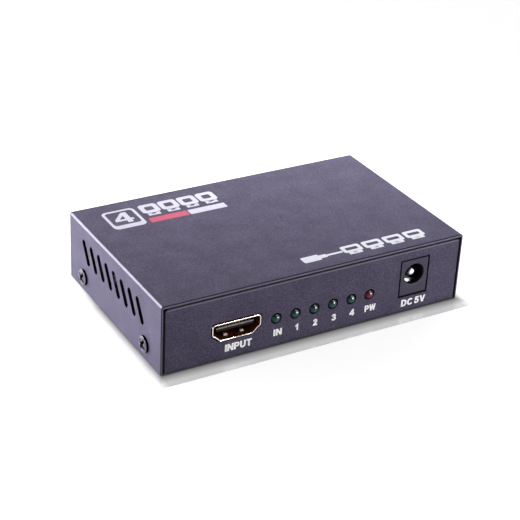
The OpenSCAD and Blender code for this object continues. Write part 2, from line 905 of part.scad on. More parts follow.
module jack_pin_terminal() {
    foot = board_t + solder_out;
    color(tin)
        at_jack()
            difference() {
                translate([-terminal_w / 2, back_y, -foot])
                    cube([terminal_w, blade_t, foot + barrel_z + terminal_w / 2]);
                on_axis(shank_d + 2 * thread_play, back_y - over, back_y + blade_t + over);
            }
}

// The leaf rises from its rolled end to a crest in the barrel and drops to a flat front edge
module jack_leaf() {
    color(tin)
        at_jack() {
            bent_strip([
                [leaf_root_y, leaf_root_z],
                [leaf_crest_y, barrel_low + leaf_crest - blade_t / 2],
                [leaf_tip_y + leaf_tip_l, leaf_tip_z],
                [leaf_tip_y, leaf_tip_z]
            ], blade_t, leaf_w);
            translate([0, leaf_root_y, leaf_root_z])
                rotate([0, 90, 0])
                    cylinder(r = leaf_roll_r, h = leaf_w, center = true);
        }
}

// A post behind the leaf's rolled end, hooked over it
module jack_leaf_terminal() {
    color(tin)
        at_jack()
            bent_strip([
                [anchor_y, -board_t - solder_out],
                [anchor_y, anchor_z],
                [leaf_root_y, anchor_z]
            ], blade_t, leaf_w);
}

// A side blade whose finger lies over the leaf's front edge
module jack_switch_blade() {
    foot = board_t + solder_out;
    color(tin)
        at_jack() {
            translate([switch_x, leaf_tip_y, -foot])
                cube([blade_t, switch_l, foot + switch_z + blade_t]);
            translate([leaf_w / 4, leaf_tip_y, switch_z])
                cube([switch_x + blade_t - leaf_w / 4, leaf_tip_l, blade_t]);
        }
}

// Parts on the board

module on_board(at) {
    translate([at.x, at.y, board_top])
        children();
}

// A bent pin that leaves a package side at half its height and turns down to the board
module gull_pin(h, w) {
    bent_strip([
        [0, chip_lift + h / 2],
        [pin_reach / 3, chip_lift + h / 2],
        [pin_reach / 2, pin_t / 2],
        [pin_reach, pin_t / 2]
    ], pin_t, w);
}

// A row of pins along the package side that faces +Y
module pin_row(count, pitch, side, h, w) {
    for (i = [0 : count - 1])
        translate([(i - (count - 1) / 2) * pitch, side, 0])
            gull_pin(h, w);
}

// A package with a round mark sunk in its first corner
module package(size) {
    mark_r = size.y / 16;
    difference() {
        translate([-size.x / 2, -size.y / 2, chip_lift])
            cube(size);
        translate([mark_r * 3 - size.x / 2, mark_r * 3 - size.y / 2, chip_lift + size.z - pin_t])
            cylinder(r = mark_r, h = over);
    }
}

module splitter_chip() {
    color(moulded_black)
        on_board([0, -chip_y])
            package([chip_w, chip_w, chip_h]);
}

module splitter_chip_pins() {
    color(tin)
        on_board([0, -chip_y])
            for (side = [0 : 90 : 270])
                rotate(side)
                    pin_row(chip_side_pins, chip_pin_pitch, chip_w / 2, chip_h, pin_w);
}

module memory_chip() {
    color(moulded_black)
        on_board(memory_at)
            package([memory_l, memory_w, memory_h]);
}

module memory_chip_pins() {
    color(tin)
        on_board(memory_at)
            for (side = [0, 180])
                rotate(side)
                    pin_row(memory_pin_count, memory_pin_pitch, memory_w / 2, memory_h, memory_pin_w);
}

// Regulators stand in a row behind the capacitor cans, from the jack inwards
module at_regulators() {
    for (i = [0 : regulator_count - 1])
        on_board([jack_x - i * regulator_span, regulator_y])
            children();
}

module regulators() {
    color(moulded_black)
        at_regulators()
            package([regulator_l, regulator_w, regulator_h]);
}

module regulator_leads() {
    color(tin)
        at_regulators() {
            rotate(180)
                pin_row(regulator_lead_count, regulator_lead_pitch, regulator_w / 2, regulator_h,
                        regulator_lead_w);
            translate([0, regulator_w / 2, 0])
                gull_pin(regulator_h, regulator_tab_w);
        }
}

// A can with round ends on a flat base
module crystal() {
    color(tin)
        on_board(crystal_at) {
            linear_extrude(crystal_base_t)
                stadium(crystal_l, crystal_w);
            linear_extrude(crystal_h)
                stadium(crystal_l - 2 * crystal_base_step, crystal_w - 2 * crystal_base_step);
        }
}

// A rectangle with half-round ends
module stadium(l, w) {
    square([l - w, w], center = true);
    for (end = [-1, 1])
        translate([end * (l - w) / 2, 0])
            circle(d = w);
}

// Capacitor cans stand in a row behind the jack, from the jack inwards
module at_cans() {
    for (i = [0 : can_count - 1])
        on_board([jack_x - i * can_pitch, can_y])
            children();
}

module capacitor_cans() {
    color(tin)
        at_cans()
            translate([0, 0, can_base_t])
                cylinder(d = can_d, h = can_h);
}

// Square feet with two corners cut off
module capacitor_bases() {
    bevel = can_d / 5;
    color(moulded_black)
        at_cans()
            linear_extrude(can_base_t)
                polygon([
                    [-can_half, -can_half],
                    [can_half, -can_half],
                    [can_half, can_half - bevel],
                    [can_half - bevel, can_half],
                    [bevel - can_half, can_half],
                    [-can_half, can_half - bevel]
                ]);
}

// A row of series resistors behind each socket's soldered feet
module chip_resistors() {
    first_x = -(resistor_count - 1) / 2 * resistor_pitch - resistor_w / 2;
    color(moulded_black)
        at_sockets()
            for (i = [0 : resistor_count - 1])
                translate([first_x + i * resistor_pitch, resistor_row_y, 0])
                    cube([resistor_w, resistor_l, resistor_h]);
}

// Supply capacitors along two sides of the splitter chip
module chip_capacitors() {
    first_y = -(capacitor_count - 1) / 2 * capacitor_pitch - capacitor_l / 2;
    color(contact_gold)
        on_board([0, -chip_y])
            for (side = [0, 180], i = [0 : capacitor_count - 1])
                rotate(side)
                    translate([capacitor_row_x, first_y + i * capacitor_pitch, 0])
                        cube([capacitor_w, capacitor_l, capacitor_h]);
}

base_tray();
top_cover();
case_screws();
board_standoffs();
circuit_board();
board_screws();
at_input() socket_shell();  // input_shell
at_input() socket_insulator();  // input_insulator
at_input() socket_contacts();  // input_contacts
for (i = OUTPUTS) {
    at_output(i) socket_shell();
    at_output(i) socket_insulator();
    at_output(i) socket_contacts();
}
for (i = [0 : LAMP_COUNT - 1]) {
    lamp(i);
    lamp_leads(i);
}
jack_housing();
jack_pin();
jack_pin_terminal();
jack_leaf();
jack_leaf_terminal();
jack_switch_blade();
splitter_chip();
splitter_chip_pins();
memory_chip();
memory_chip_pins();
regulators();
regulator_leads();
crystal();
capacitor_cans();
capacitor_bases();
chip_resistors();
chip_capacitors();
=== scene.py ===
# %% [markdown]
# # A one-to-four video splitter
# The real thing is a palm-sized box of painted sheet steel. One video socket goes in at the
# front, four come out at the back, and a row of small lamps shows which of them are live.
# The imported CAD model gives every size. This lesson dresses it: each step makes one piece or
# one finish, in the CAD model's own frame (x to the right, y to the rear, z up).

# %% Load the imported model
import json

import bmesh
import bpy
import numpy as np
from mathutils import Matrix, Vector
from mathutils.geometry import delaunay_2d_cdt


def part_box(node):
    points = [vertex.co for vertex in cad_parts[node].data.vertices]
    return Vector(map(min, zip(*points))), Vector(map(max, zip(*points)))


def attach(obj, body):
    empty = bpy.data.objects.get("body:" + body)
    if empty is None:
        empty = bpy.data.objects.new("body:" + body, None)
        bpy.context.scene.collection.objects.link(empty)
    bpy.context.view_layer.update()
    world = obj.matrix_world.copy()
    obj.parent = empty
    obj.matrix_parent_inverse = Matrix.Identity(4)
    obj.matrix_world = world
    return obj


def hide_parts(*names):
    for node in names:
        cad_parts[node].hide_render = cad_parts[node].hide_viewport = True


MM = 0.001
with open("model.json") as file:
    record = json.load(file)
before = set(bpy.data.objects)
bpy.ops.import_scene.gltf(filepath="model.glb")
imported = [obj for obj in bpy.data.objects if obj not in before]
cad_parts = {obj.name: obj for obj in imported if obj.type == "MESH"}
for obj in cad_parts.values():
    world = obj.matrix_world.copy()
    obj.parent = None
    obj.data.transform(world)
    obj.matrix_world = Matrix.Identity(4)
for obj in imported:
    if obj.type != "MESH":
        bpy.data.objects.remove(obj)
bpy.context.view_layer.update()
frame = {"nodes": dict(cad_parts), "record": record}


def box_mm(node):
    """Lowest and highest corner of a CAD node, in millimetres."""
    low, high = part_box(node)
    return np.array(low) / MM, np.array(high) / MM


# %% [markdown]
# ## Camera
# A long lens far away keeps the box's edges nearly parallel, as in a catalogue picture.
# The place is given as two angles, a distance and a small roll about the line of sight,
# because these can be read off the box's corners in a photograph and then be refined.

# %% Camera
CAMERA_TURN, CAMERA_RISE, CAMERA_ROLL = np.radians([-31.03, 28.80, 2.92])
CAMERA_DISTANCE, CAMERA_LENS = 425.8, 101.75
CAMERA_TARGET = np.array([-1.46, 0.0, 9.27])

backward = np.array([np.sin(CAMERA_TURN) * np.cos(CAMERA_RISE),
                     -np.cos(CAMERA_TURN) * np.cos(CAMERA_RISE),
                     np.sin(CAMERA_RISE)])
level = np.array([np.cos(CAMERA_TURN), np.sin(CAMERA_TURN), 0.0])
upright = np.cross(backward, level)
camera_axes = np.eye(4)
camera_axes[:3, 0] = np.cos(CAMERA_ROLL) * level + np.sin(CAMERA_ROLL) * upright
camera_axes[:3, 1] = np.cos(CAMERA_ROLL) * upright - np.sin(CAMERA_ROLL) * level
camera_axes[:3, 2] = backward
camera_axes[:3, 3] = (CAMERA_TARGET + CAMERA_DISTANCE * backward) * MM
camera = bpy.data.objects.new("camera", bpy.data.cameras.new("camera"))
camera.data.lens, camera.data.clip_start = CAMERA_LENS, 0.01
camera.matrix_world = Matrix(camera_axes.tolist())
bpy.context.scene.collection.objects.link(camera)
bpy.context.scene.camera = camera
bpy.context.scene.view_settings.view_transform = "Standard"
print("camera at", np.round(camera_axes[:3, 3], 3).tolist(), "m")

# %% [markdown]
# ## Surfaces as arrays
# Every new piece below is a function of two parameters, worked out for all its points at
# once. These helpers join the points into faces and put them into Blender. Points are in
# millimetres until the last moment, because that is how such a box is drawn.

# %% Points and faces


def columns(*parts):
    """Points from their coordinates, any of which may be a single number."""
    return np.stack(np.broadcast_arrays(*map(np.atleast_1d, parts)), axis=-1)


def grid_quads(rows, across, closed=False):
    """Quads of a grid of rows x across points, numbered row by row. A closed grid joins the last
    point of a row to its first."""
    row, place = np.meshgrid(np.arange(rows - 1), np.arange(across - (not closed)), indexing="ij")
    here, right = row * across + place, row * across + (place + 1) % across
    return np.stack([here, right, right + across, here + across], axis=-1).reshape(-1, 4)


def joined(*parts):
    """Several (points, faces) pairs as one, with the face numbers moved on."""
    points, faces, count = [], [], 0
    for part_points, part_faces in parts:
        points.append(part_points)
        faces += [block + count for block in part_faces]
        count += len(part_points)
    return np.concatenate(points), faces


print("a 3 x 4 grid has", len(grid_quads(3, 4)), "quads")

# %% Pieces


def write_on(mesh, mark, values):
    """Writes one number on each point of a mesh, for a finish to read."""
    mesh.attributes.new(mark, "FLOAT", "POINT").data.foreach_set("value", values.astype(np.float32))


def put_piece(name, shape, finish, replaces=(), body="case", smooth=True, marks=None):
    """One object from (points in mm, blocks of faces), merged where points meet, at the origin
    and riding on a CAD body. marks are numbers written on the points, for the finish to read."""
    points, faces = shape
    mesh = bpy.data.meshes.new(name)
    mesh.from_pydata((points * MM).tolist(), [], [face for block in faces for face in block.tolist()])
    for mark, values in (marks or {}).items():
        write_on(mesh, mark, values)
    work = bmesh.new()
    work.from_mesh(mesh)
    bmesh.ops.remove_doubles(work, verts=work.verts, dist=1e-7)
    work.to_mesh(mesh)
    work.free()
    mesh.polygons.foreach_set("use_smooth", np.full(len(mesh.polygons), smooth))
    mesh.materials.append(finish)
    piece = bpy.data.objects.new(name, mesh)
    bpy.context.scene.collection.objects.link(piece)
    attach(piece, body)
    if replaces:
        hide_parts(*replaces)
    return piece


def gathered(items, name, width=3, kind=float):
    """One property of all a mesh's points, edges or faces: an array with width numbers to a row."""
    values = np.zeros(len(items) * width, kind)
    items.foreach_get(name, values)
    return values.reshape(-1, width)


print("pieces ride on a CAD body from the start")

# %% Edges
SHARP_TURN = np.radians(35)


def soften(piece, width, angle=SHARP_TURN, weld=False):
    """Rounds the edges that turn by more than the angle, and keeps the flats flat to the light. A weld
    joins the triangles of a CAD solid into whole flats first."""
    if weld:
        piece.modifiers.new("weld", "WELD").merge_threshold = 2e-6
        dissolve = piece.modifiers.new("flats", "DECIMATE")
        dissolve.decimate_type, dissolve.angle_limit = "DISSOLVE", np.radians(0.5)
    bevel = piece.modifiers.new("soft_edges", "BEVEL")
    bevel.width, bevel.segments = width * MM, 2
    bevel.limit_method, bevel.angle_limit = "ANGLE", angle
    normals = piece.modifiers.new("flat_light", "WEIGHTED_NORMAL")
    normals.keep_sharp, normals.weight = False, 80


def crisp(piece):
    """Keeps the edges that turn far sharp and the flats flat to the light. Returns which are sharp."""
    piece.data.set_sharp_from_angle(angle=SHARP_TURN)
    piece.modifiers.new("flat_light", "WEIGHTED_NORMAL").keep_sharp = True
    return gathered(piece.data.attributes["sharp_edge"].data, "value", 1, bool)[:, 0]


def round_rim(piece, chosen, width, finish):
    """Rounds the sharp edges between chosen points by a bevel that reads their weight, and gives the
    rounding a finish of its own. All other sharp edges stay sharp."""
    bevel = piece.modifiers.new("rim", "BEVEL")
    bevel.width, bevel.segments, bevel.limit_method = width * MM, 3, "WEIGHT"
    bevel.use_clamp_overlap = False
    piece.data.materials.append(finish)
    bevel.material = len(piece.data.materials) - 1
    sharp = crisp(piece)
    rim = sharp & chosen[gathered(piece.data.edges, "vertices", 2, int)].all(axis=1)
    weights = piece.data.attributes.new("bevel_weight_edge", "FLOAT", "EDGE")
    weights.data.foreach_set("value", rim.astype(np.float32))
    piece.data.attributes["sharp_edge"].data.foreach_set("value", sharp & ~rim)


print("edges that turn by more than", round(float(np.degrees(SHARP_TURN))), "degrees are sharp")

# %% [markdown]
# ## Finishes
# A finish is a node tree that starts from the Object coordinates of its piece, so that its
# grain stays put from any side and survives an export. Most below use noise for colour, and many
# for roughness too. A single flat colour would look like a toy.

# %% Nodes


def paint(red, green, blue):
    """A colour written as it shows on a screen, 0 to 255, turned into linear light."""
    shown = np.array([red, green, blue]) / 255
    linear = np.where(shown > 0.04045, ((shown + 0.055) / 1.055) ** 2.4, shown / 12.92)
    return (*linear.tolist(), 1.0)


def wire(node, inputs):
    """Puts links or plain values on a node's inputs."""
    for socket, value in inputs.items():
        if isinstance(value, bpy.types.NodeSocket):
            node.id_data.links.new(value, node.inputs[socket])
        else:
            node.inputs[socket].default_value = value


def add_node(tree, kind, inputs, output=0, **settings):
    """One output of a new node of a kind, with its settings and its inputs."""
    node = tree.nodes.new("ShaderNode" + kind)
    for name, value in settings.items():
        setattr(node, name, value)
    wire(node, inputs)
    return node.outputs[output]


def new_finish(name, **sockets):
    """A material with one Principled shader. What is the same all over goes on its sockets."""
    material = bpy.data.materials.new(name)
    material.use_nodes = True
    shader = material.node_tree.nodes["Principled BSDF"]
    wire(shader, {socket.replace("_", " "): value for socket, value in sockets.items()})
    return material, material.node_tree, shader


print("white in linear light:", paint(255, 255, 255))

# %% Places and noise


def place_on(tree, stretch=(1, 1, 1), turn=(0, 0, 0)):
    """Object coordinates in metres, turned by degrees and stretched."""
    source = add_node(tree, "TexCoord", {}, "Object")
    return add_node(tree, "Mapping", {"Vector": source, "Rotation": np.radians(turn), "Scale": stretch},
                    vector_type="TEXTURE")


def grain(tree, size, detail=2.0, stretch=(1, 1, 1)):
    """Noise whose blotches are about size mm across, longer along an axis that is stretched."""
    return add_node(tree, "TexNoise", {"Scale": 1 / (size * MM), "Detail": detail, "Vector": place_on(tree, stretch)},
                    "Fac")


def read_off(tree, mark):
    """A number that is written on the points of the mesh."""
    return add_node(tree, "Attribute", {}, "Fac", attribute_name=mark)


def axes_of(tree, vector):
    """The three parts of a vector."""
    return add_node(tree, "SeparateXYZ", {0: vector}).node.outputs


def worked(tree, operation, *values):
    """A Math node of the given operation on links or plain numbers."""
    return add_node(tree, "Math", dict(enumerate(values)), operation=operation)


def between(tree, factor, low, high, start=0.3, end=0.7):
    """A number that goes from low to high as the factor goes from start to end."""
    return add_node(tree, "MapRange", {"Value": factor, "From Min": start, "From Max": end,
                                       "To Min": low, "To Max": high}, "Result")


def mixed(tree, factor, under, over, **settings):
    """The first times one less the factor, plus the second times the factor."""
    return add_node(tree, "Mix", {"Factor": factor, "A": under, "B": over}, "Result", **settings)


print("noise, marks and sums can be wired")

# %% Colours, relief and a plain grained finish


def coloured(tree, factor, *stops):
    """A colour read off a ramp of (factor, colour) stops."""
    ramp = add_node(tree, "ValToRGB", {"Fac": factor}, "Color")
    marks = ramp.node.color_ramp.elements
    while len(marks) < len(stops):
        marks.new(0.5)
    for mark, (position, colour) in zip(marks, stops):
        mark.position, mark.color = position, colour
    return ramp


def layered(tree, factor, under, over, how="MIX"):
    """One colour over another by a factor. how is Blender's name of the blend."""
    return mixed(tree, factor, under, over, data_type="RGBA", blend_type=how)


def relief(tree, shader, height, depth, strength):
    """Tilts the light on the surface as if the factor stood depth mm high."""
    wire(shader, {"Normal": add_node(tree, "Bump", {"Distance": depth * MM, "Strength": strength, "Height": height})})


def grained(name, size, dark, light, rough=None, detail=2, stretch=(1, 1, 1), end=0.70, **sockets):
    """A finish whose grain runs between two colours and, where they are given, two roughnesses."""
    material, tree, shader = new_finish(name, **sockets)
    fine = grain(tree, size, detail, stretch)
    wire(shader, {"Base Color": coloured(tree, fine, (0.30, paint(*dark)), (end, paint(*light)))})
    if rough:
        wire(shader, {"Roughness": between(tree, fine, *rough)})
    return material


print("colours can be layered")

# %% [markdown]
# ## Powder coat
# The case is powder coated: fine melted grains leave a satin skin with a slight orange peel.
# The colour is a dark violet grey. A fine noise gives the speckle, a coarse one the faint
# clouding, and the same fine noise lifts the surface a few thousandths of a millimetre. The inside
# of the case is painted nearly black, as painted shade. Along the cut edges a dark finish is painted
# shade and a pale finish beside it is a painted highlight, and the bends are painted pale as a
# painted highlight.

# %% Powder coat
case_paint, tree, shader = new_finish("case_paint", Specular_IOR_Level=0.13, Specular_Tint=(0.80, 0.70, 1.0, 1))
speckle = grain(tree, 0.32, 3)
mottle = mixed(tree, 0.22, speckle, grain(tree, 7))
powder = coloured(tree, mottle, (0.32, paint(54, 50, 67)), (0.50, paint(74, 69, 89)), (0.68, paint(95, 89, 113)))
# Painted shade: the inner skin of each sheet is painted nearly black.
inner_dark = between(tree, read_off(tree, "inner_shade"), 0, 1, 0.02, 0.12)
wire(shader, {"Base Color": layered(tree, inner_dark, powder, paint(9, 8, 12)),
              "Roughness": between(tree, speckle, 0.44, 0.56)})
relief(tree, shader, speckle, 0.02, 0.6)
MATT = {"Specular_IOR_Level": 0.1, "Roughness": 0.6}
# Painted shade and painted highlights: a dark finish for cut edges, a pale one beside them, a pale one for bends.
painted_edge_shade = grained("painted_edge_shade", 0.2, (20, 18, 26), (32, 29, 40), **MATT)
painted_edge_highlight = grained("painted_edge_highlight", 0.2, (110, 103, 128), (134, 127, 153), **MATT)
painted_bend_highlight = grained("painted_bend_highlight", 0.2, (136, 132, 147), (158, 154, 169), **MATT)
print("made", case_paint.name, painted_edge_shade.name, painted_edge_highlight.name, painted_bend_highlight.name)

# %% [markdown]
# ## A sheet that is punched, then folded
# The cover and the tray are made as in a workshop: a flat blank is punched while it is still
# easy to reach, and folded afterwards. A boolean cut would do, but it leaves ragged faces.
# Here the flat blank is cut into triangles between its outline, its holes and its fold lines,
# and folding is one formula for all the points. The inner skin is the same formula at a depth
# of one sheet thickness, so the wall is as even as real sheet.

# %% Loops to cut along


def unit(vectors):
    """Vectors scaled to length one."""
    return vectors / np.linalg.norm(vectors, axis=-1, keepdims=True)


def around(angle):
    """Points of a circle of radius one."""
    return columns(np.cos(angle), np.sin(angle))


def corner_frame(corners):
    """Directions into each corner of a loop, the outward normals of the runs into and out of it, and
    the turn at the corner in radians, positive where a counter-clockwise loop is convex."""
    inward = unit(corners - np.roll(corners, 1, axis=0))
    outward = np.roll(inward, -1, axis=0)
    turn = np.arctan2(inward[:, 0] * outward[:, 1] - inward[:, 1] * outward[:, 0],
                      (inward * outward).sum(axis=1))
    return inward, inward[:, ::-1] * [1, -1], outward[:, ::-1] * [1, -1], turn


def grown(corners, by):
    """The corners of a loop whose runs have all moved outwards: each corner moves along the sum
    of its two normals, over one plus their product."""
    _, first, second, _ = corner_frame(corners)
    return corners + by * (first + second) / (1 + (first * second).sum(axis=1, keepdims=True))


def rounded(corners, radius, steps=6):
    """A loop with round corners, and the outward normal at each point. An arc starts its radius
    times the tangent of half the turn before its corner, and its normals turn evenly."""
    inward, normal, _, turn = corner_frame(corners)
    radius = np.broadcast_to(radius, turn.shape)[:, None]
    side = np.sign(turn)[:, None]
    centre = corners - inward * radius * np.tan(np.abs(turn)[:, None] / 2) - side * normal * radius
    angle = np.arctan2(normal[:, 1], normal[:, 0])[:, None] + turn[:, None] * np.linspace(0, 1, steps + 1)
    normals = around(angle)
    points = centre[:, None] + (side * radius)[:, None] * normals
    return points.reshape(-1, 2), normals.reshape(-1, 2)


def box_corners(low, high):
    """Four corners of a rectangle, counter-clockwise."""
    return np.array([[low[0], low[1]], [high[0], low[1]], [high[0], high[1]], [low[0], high[1]]], float)


def round_box(low, high, radius, steps=6):
    """A rectangle's loop with round corners."""
    return rounded(box_corners(low, high), radius, steps)[0]


def ring(centre, diameter, steps=36):
    """Points round a circle, counter-clockwise."""
    return np.array(centre) + diameter / 2 * around(np.linspace(0, 2 * np.pi, steps, endpoint=False))


def long_slot(centre, length, width, lean, steps=12):
    """A slot with half-round ends that leans to the right by an angle in degrees: two half circles
    set apart by the length less the width, turned about their middle."""
    end = width / 2 * around(np.linspace(0, np.pi, steps)) + [0, (length - width) / 2]
    cosine, sine = around(np.radians(lean))[0]
    return np.concatenate([end, -end]) @ np.array([[cosine, -sine], [sine, cosine]]) + np.array(centre)


print("a round corner has", len(round_box((0, 0), (4, 2), 0.5)) // 4, "points")

# %% Punching and folding


def clockwise(loop):
    """The loop, turned round if it runs counter-clockwise."""
    after = np.roll(loop, -1, axis=0)
    area = (loop[:, 0] * after[:, 1] - loop[:, 1] * after[:, 0]).sum()
    return loop[::-1] if area > 0 else loop


def punched(outline, holes=(), folds=()):
    """A flat blank: its points, its triangles and its rim edges. The outline runs counter-clockwise,
    and folds are pairs of outline points that stay joined. Triangles with all three corners on one
    hole are the waste that is punched out."""
    loops = [outline, *(clockwise(hole) for hole in holes)]
    sizes = [len(loop) for loop in loops]
    flat = np.concatenate(loops)
    owner = np.repeat(np.arange(len(loops)), sizes)
    numbers = np.split(np.arange(len(flat)), np.cumsum(sizes)[:-1])
    rims = np.concatenate([columns(loop, np.roll(loop, -1)) for loop in numbers])
    kept = rims if len(folds) == 0 else np.concatenate([rims, folds])
    triangles = np.array(delaunay_2d_cdt(list(map(Vector, flat)), kept.tolist(), [], 1, 1e-7)[2])
    corners = owner[triangles]
    waste = (corners[:, 0] > 0) & (corners == corners[:, :1]).all(axis=1)
    return flat, triangles[~waste], rims


def sheet(blank, to_space, thickness, flipped=False, inside=None):
    """A wall of even thickness: the blank's outer skin, its inner skin and the rim between them. The
    inner skin may have its own flat points, where a punch has torn its holes wider."""
    flat, triangles, rims = blank
    count = len(flat)
    points = np.concatenate([to_space(flat, 0), to_space(flat if inside is None else inside, thickness)])
    rim = columns(rims[:, 1], rims[:, 0], rims[:, 0] + count, rims[:, 1] + count)
    faces = [triangles, triangles[:, ::-1] + count, rim]
    return points, [block[:, ::-1] for block in faces] if flipped else faces


def inner_shade(shape):
    """The painted shade of a sheet: zero on its outer skin and one on its inner skin, the second half of its points."""
    return np.repeat([0, 1], len(shape[0]) // 2)


def quarter_bend(run, start, radius, depth):
    """Where a point of a folded sheet lands. run is its distance along the flat outer skin from the
    middle. The skin runs straight to start, turns a quarter circle and runs on square to that. The
    angle turned is the run past start over the radius; the point sits on a circle of the radius less
    its depth. Returns the distance out and the distance round the corner."""
    length = np.abs(run)
    angle = np.clip((length - start) / radius, 0, np.pi / 2)
    beyond = np.maximum(length - start - radius * np.pi / 2, 0)
    out = np.minimum(length, start) + (radius - depth) * np.sin(angle)
    return np.sign(run) * out, radius - (radius - depth) * np.cos(angle) + beyond


SHEET, INK, HAIR = 0.6, 0.02, 0.001
FOLD_RADIUS, FOLD_STEPS = 0.65, 10
FOLD_RUN = np.linspace(0, FOLD_RADIUS * np.pi / 2, FOLD_STEPS + 1)
print("a fold takes up", round(float(FOLD_RUN[-1]), 3), "mm of skin")

# %% [markdown]
# ## The cover
# One sheet folded into a channel: the top and two side walls with eight leaning vent slots each.
# Its skin sits a hair under the CAD skin, which leaves room for the printed marks on top. Its front
# and rear edges are made apart from the blank, because shears roll them over.

# %% Sizes of the cover
low, high = box_mm("top_cover")
COVER_X, COVER_Y, COVER_TOP, COVER_LOW = high[0] - INK, high[1], high[2] - INK, low[2]
VENT_Y = 0.8 + 5.0 * (np.arange(8) - 3.5)
VENT_Z, VENT_LENGTH, VENT_WIDTH, VENT_LEAN, VENT_TEAR = 13.2, 7.9, 2.2, 31, 0.7
screws_low, screws_high = box_mm("case_screws")
HEAD_RADIUS, HEAD_HEIGHT = (screws_high[2] - screws_low[2]) / 2, screws_high[0] - high[0]
SCREW_Y, SCREW_Z, SCREW_HOLE = screws_high[1] - HEAD_RADIUS, (screws_high[2] + screws_low[2]) / 2, 3.5
SIDES = (-1, 1)
SCREWS = [(side, y) for side in SIDES for y in (-SCREW_Y, SCREW_Y)]
ROLL_WIDE, ROLL_DEEP, BEAD = 0.45, 0.12, 0.35
ROLL_START = COVER_Y - ROLL_WIDE

cover_start = COVER_X - FOLD_RADIUS
cover_wall = cover_start + FOLD_RUN[-1] - FOLD_RADIUS + COVER_TOP
cover_half = cover_wall - COVER_LOW
fold_row = cover_start + FOLD_RUN
row = np.concatenate([[-cover_half], -fold_row[::-1], fold_row, [cover_half]])
print("the cover's blank is", round(2 * cover_half, 1), "x", round(2 * COVER_Y, 1), "mm")

# %% Vents, folds and rims of the cover


def strip_blank(row, low, high):
    """A rectangle's outline between two heights with the same row of points on both long sides, and
    the folds that join each inner point to the one over it."""
    outline = np.concatenate([columns(row, low), columns(row[::-1], high)])
    return outline, columns(np.arange(1, len(row) - 1), 2 * len(row) - 2 - np.arange(len(row) - 2))


def on_wall(loop, side):
    """A loop drawn on a side wall as (y, z), laid back onto the flat blank."""
    return columns(side * (cover_wall - loop[:, 1]), loop[:, 0])


def cover_holes(torn):
    """Vents and screw holes. Where a punch leaves the sheet, it tears the vents wider by torn."""
    size = VENT_LENGTH + 2 * torn, VENT_WIDTH + 2 * torn
    vents = [on_wall(long_slot((y, VENT_Z), *size, VENT_LEAN), side) for side in SIDES for y in VENT_Y]
    return vents + [on_wall(ring((y, SCREW_Z), SCREW_HOLE), side) for side, y in SCREWS]


def fold_cover(flat, depth):
    """The blank folded down over both sides: x and the drop come from the bend, y stays."""
    out, drop = quarter_bend(flat[:, 0], cover_start, FOLD_RADIUS, depth)
    return columns(out, flat[:, 1], COVER_TOP - drop)


def rolled_rim(side):
    """The front (-1) or rear (1) rim. Shears roll the upper edge of a cut over: the skin sinks along a
    quarter of a flat ellipse, and the cut face and the inner skin follow. Closed at both ends."""
    share = np.linspace(0, 1, 6)
    along = np.append(ROLL_START + ROLL_WIDE * share, [COVER_Y, COVER_Y, ROLL_START])
    depth = np.append(ROLL_DEEP * (1 - np.sqrt(1 - share ** 2)), [BEAD, SHEET, SHEET])
    points = fold_cover(columns(row, side * along[:, None]).reshape(-1, 2), np.repeat(depth, len(row)))
    start = np.arange(len(along)) * len(row)
    caps = np.stack([start, start[::-1] + len(row) - 1])
    return points, [grid_quads(len(along), len(row))[:, ::side], caps[:, ::side]]


outline, folds = strip_blank(row, -ROLL_START, ROLL_START)
flat, triangles, rims = punched(outline, cover_holes(0), folds)
print("cover:", len(rims) - len(outline), "points round its holes")

# %% The cover
number = np.arange(len(rims))
on_rim = (number < 2 * len(row)) & (number % len(row) < len(row) - 1)
inside = np.concatenate([outline, *map(clockwise, cover_holes(VENT_TEAR))])
body = sheet((flat, triangles, rims[~on_rim]), fold_cover, SHEET, inside=inside)
shape = joined(body, *map(rolled_rim, SIDES))
# Painted shade on the cover's inner skin; the rolled rims get none.
coat = np.zeros(len(shape[0]))
coat[:len(body[0])] = inner_shade(body)
cover = put_piece("cover", shape, case_paint, ["top_cover"], marks={"inner_shade": coat})
crisp(cover)
print("cover:", len(cover.data.polygons), "faces")

# %% Painted shade and painted highlights along the cover's rims and bends
for finish in (painted_edge_shade, painted_edge_highlight, painted_bend_highlight):
    cover.data.materials.append(finish)
x, y, z = gathered(cover.data.polygons, "center").T / MM
cut_face = np.abs(y) > COVER_Y - HAIR
on_walls = (z < COVER_TOP - SHEET) & (np.abs(x) < COVER_X - BEAD)
# Painted shade on the rolled-over rims and on the walls' cut faces, painted highlight on the other cut faces.
shaded = (np.abs(y) > ROLL_START) & (~cut_face | on_walls)
# Painted highlight on the bends.
bend = (np.abs(x) > COVER_X - 0.7 * FOLD_RADIUS) & (z > COVER_TOP - 0.75 * FOLD_RADIUS)
cover.data.polygons.foreach_set("material_index", np.select([shaded, cut_face, bend], [1, 2, 3], 0))
print("faces:", int(shaded.sum()), "bare,", int((cut_face & ~shaded).sum()), "beaded,", int(bend.sum()), "on bends")

# %% [markdown]
# ## The tray
# Floor, front panel, rear panel and two low side flanges from one cross-shaped blank. The panels
# fold up along x and the flanges along y; the notches at the corners keep the folds apart.
# The panel openings follow the CAD sizes: a D for each video socket, a circle for each lamp and a
# rectangle for the power jack. The panels' cut edges are rounded and painted dark, as painted shade,
# with a pale band painted along their tops as a painted highlight.

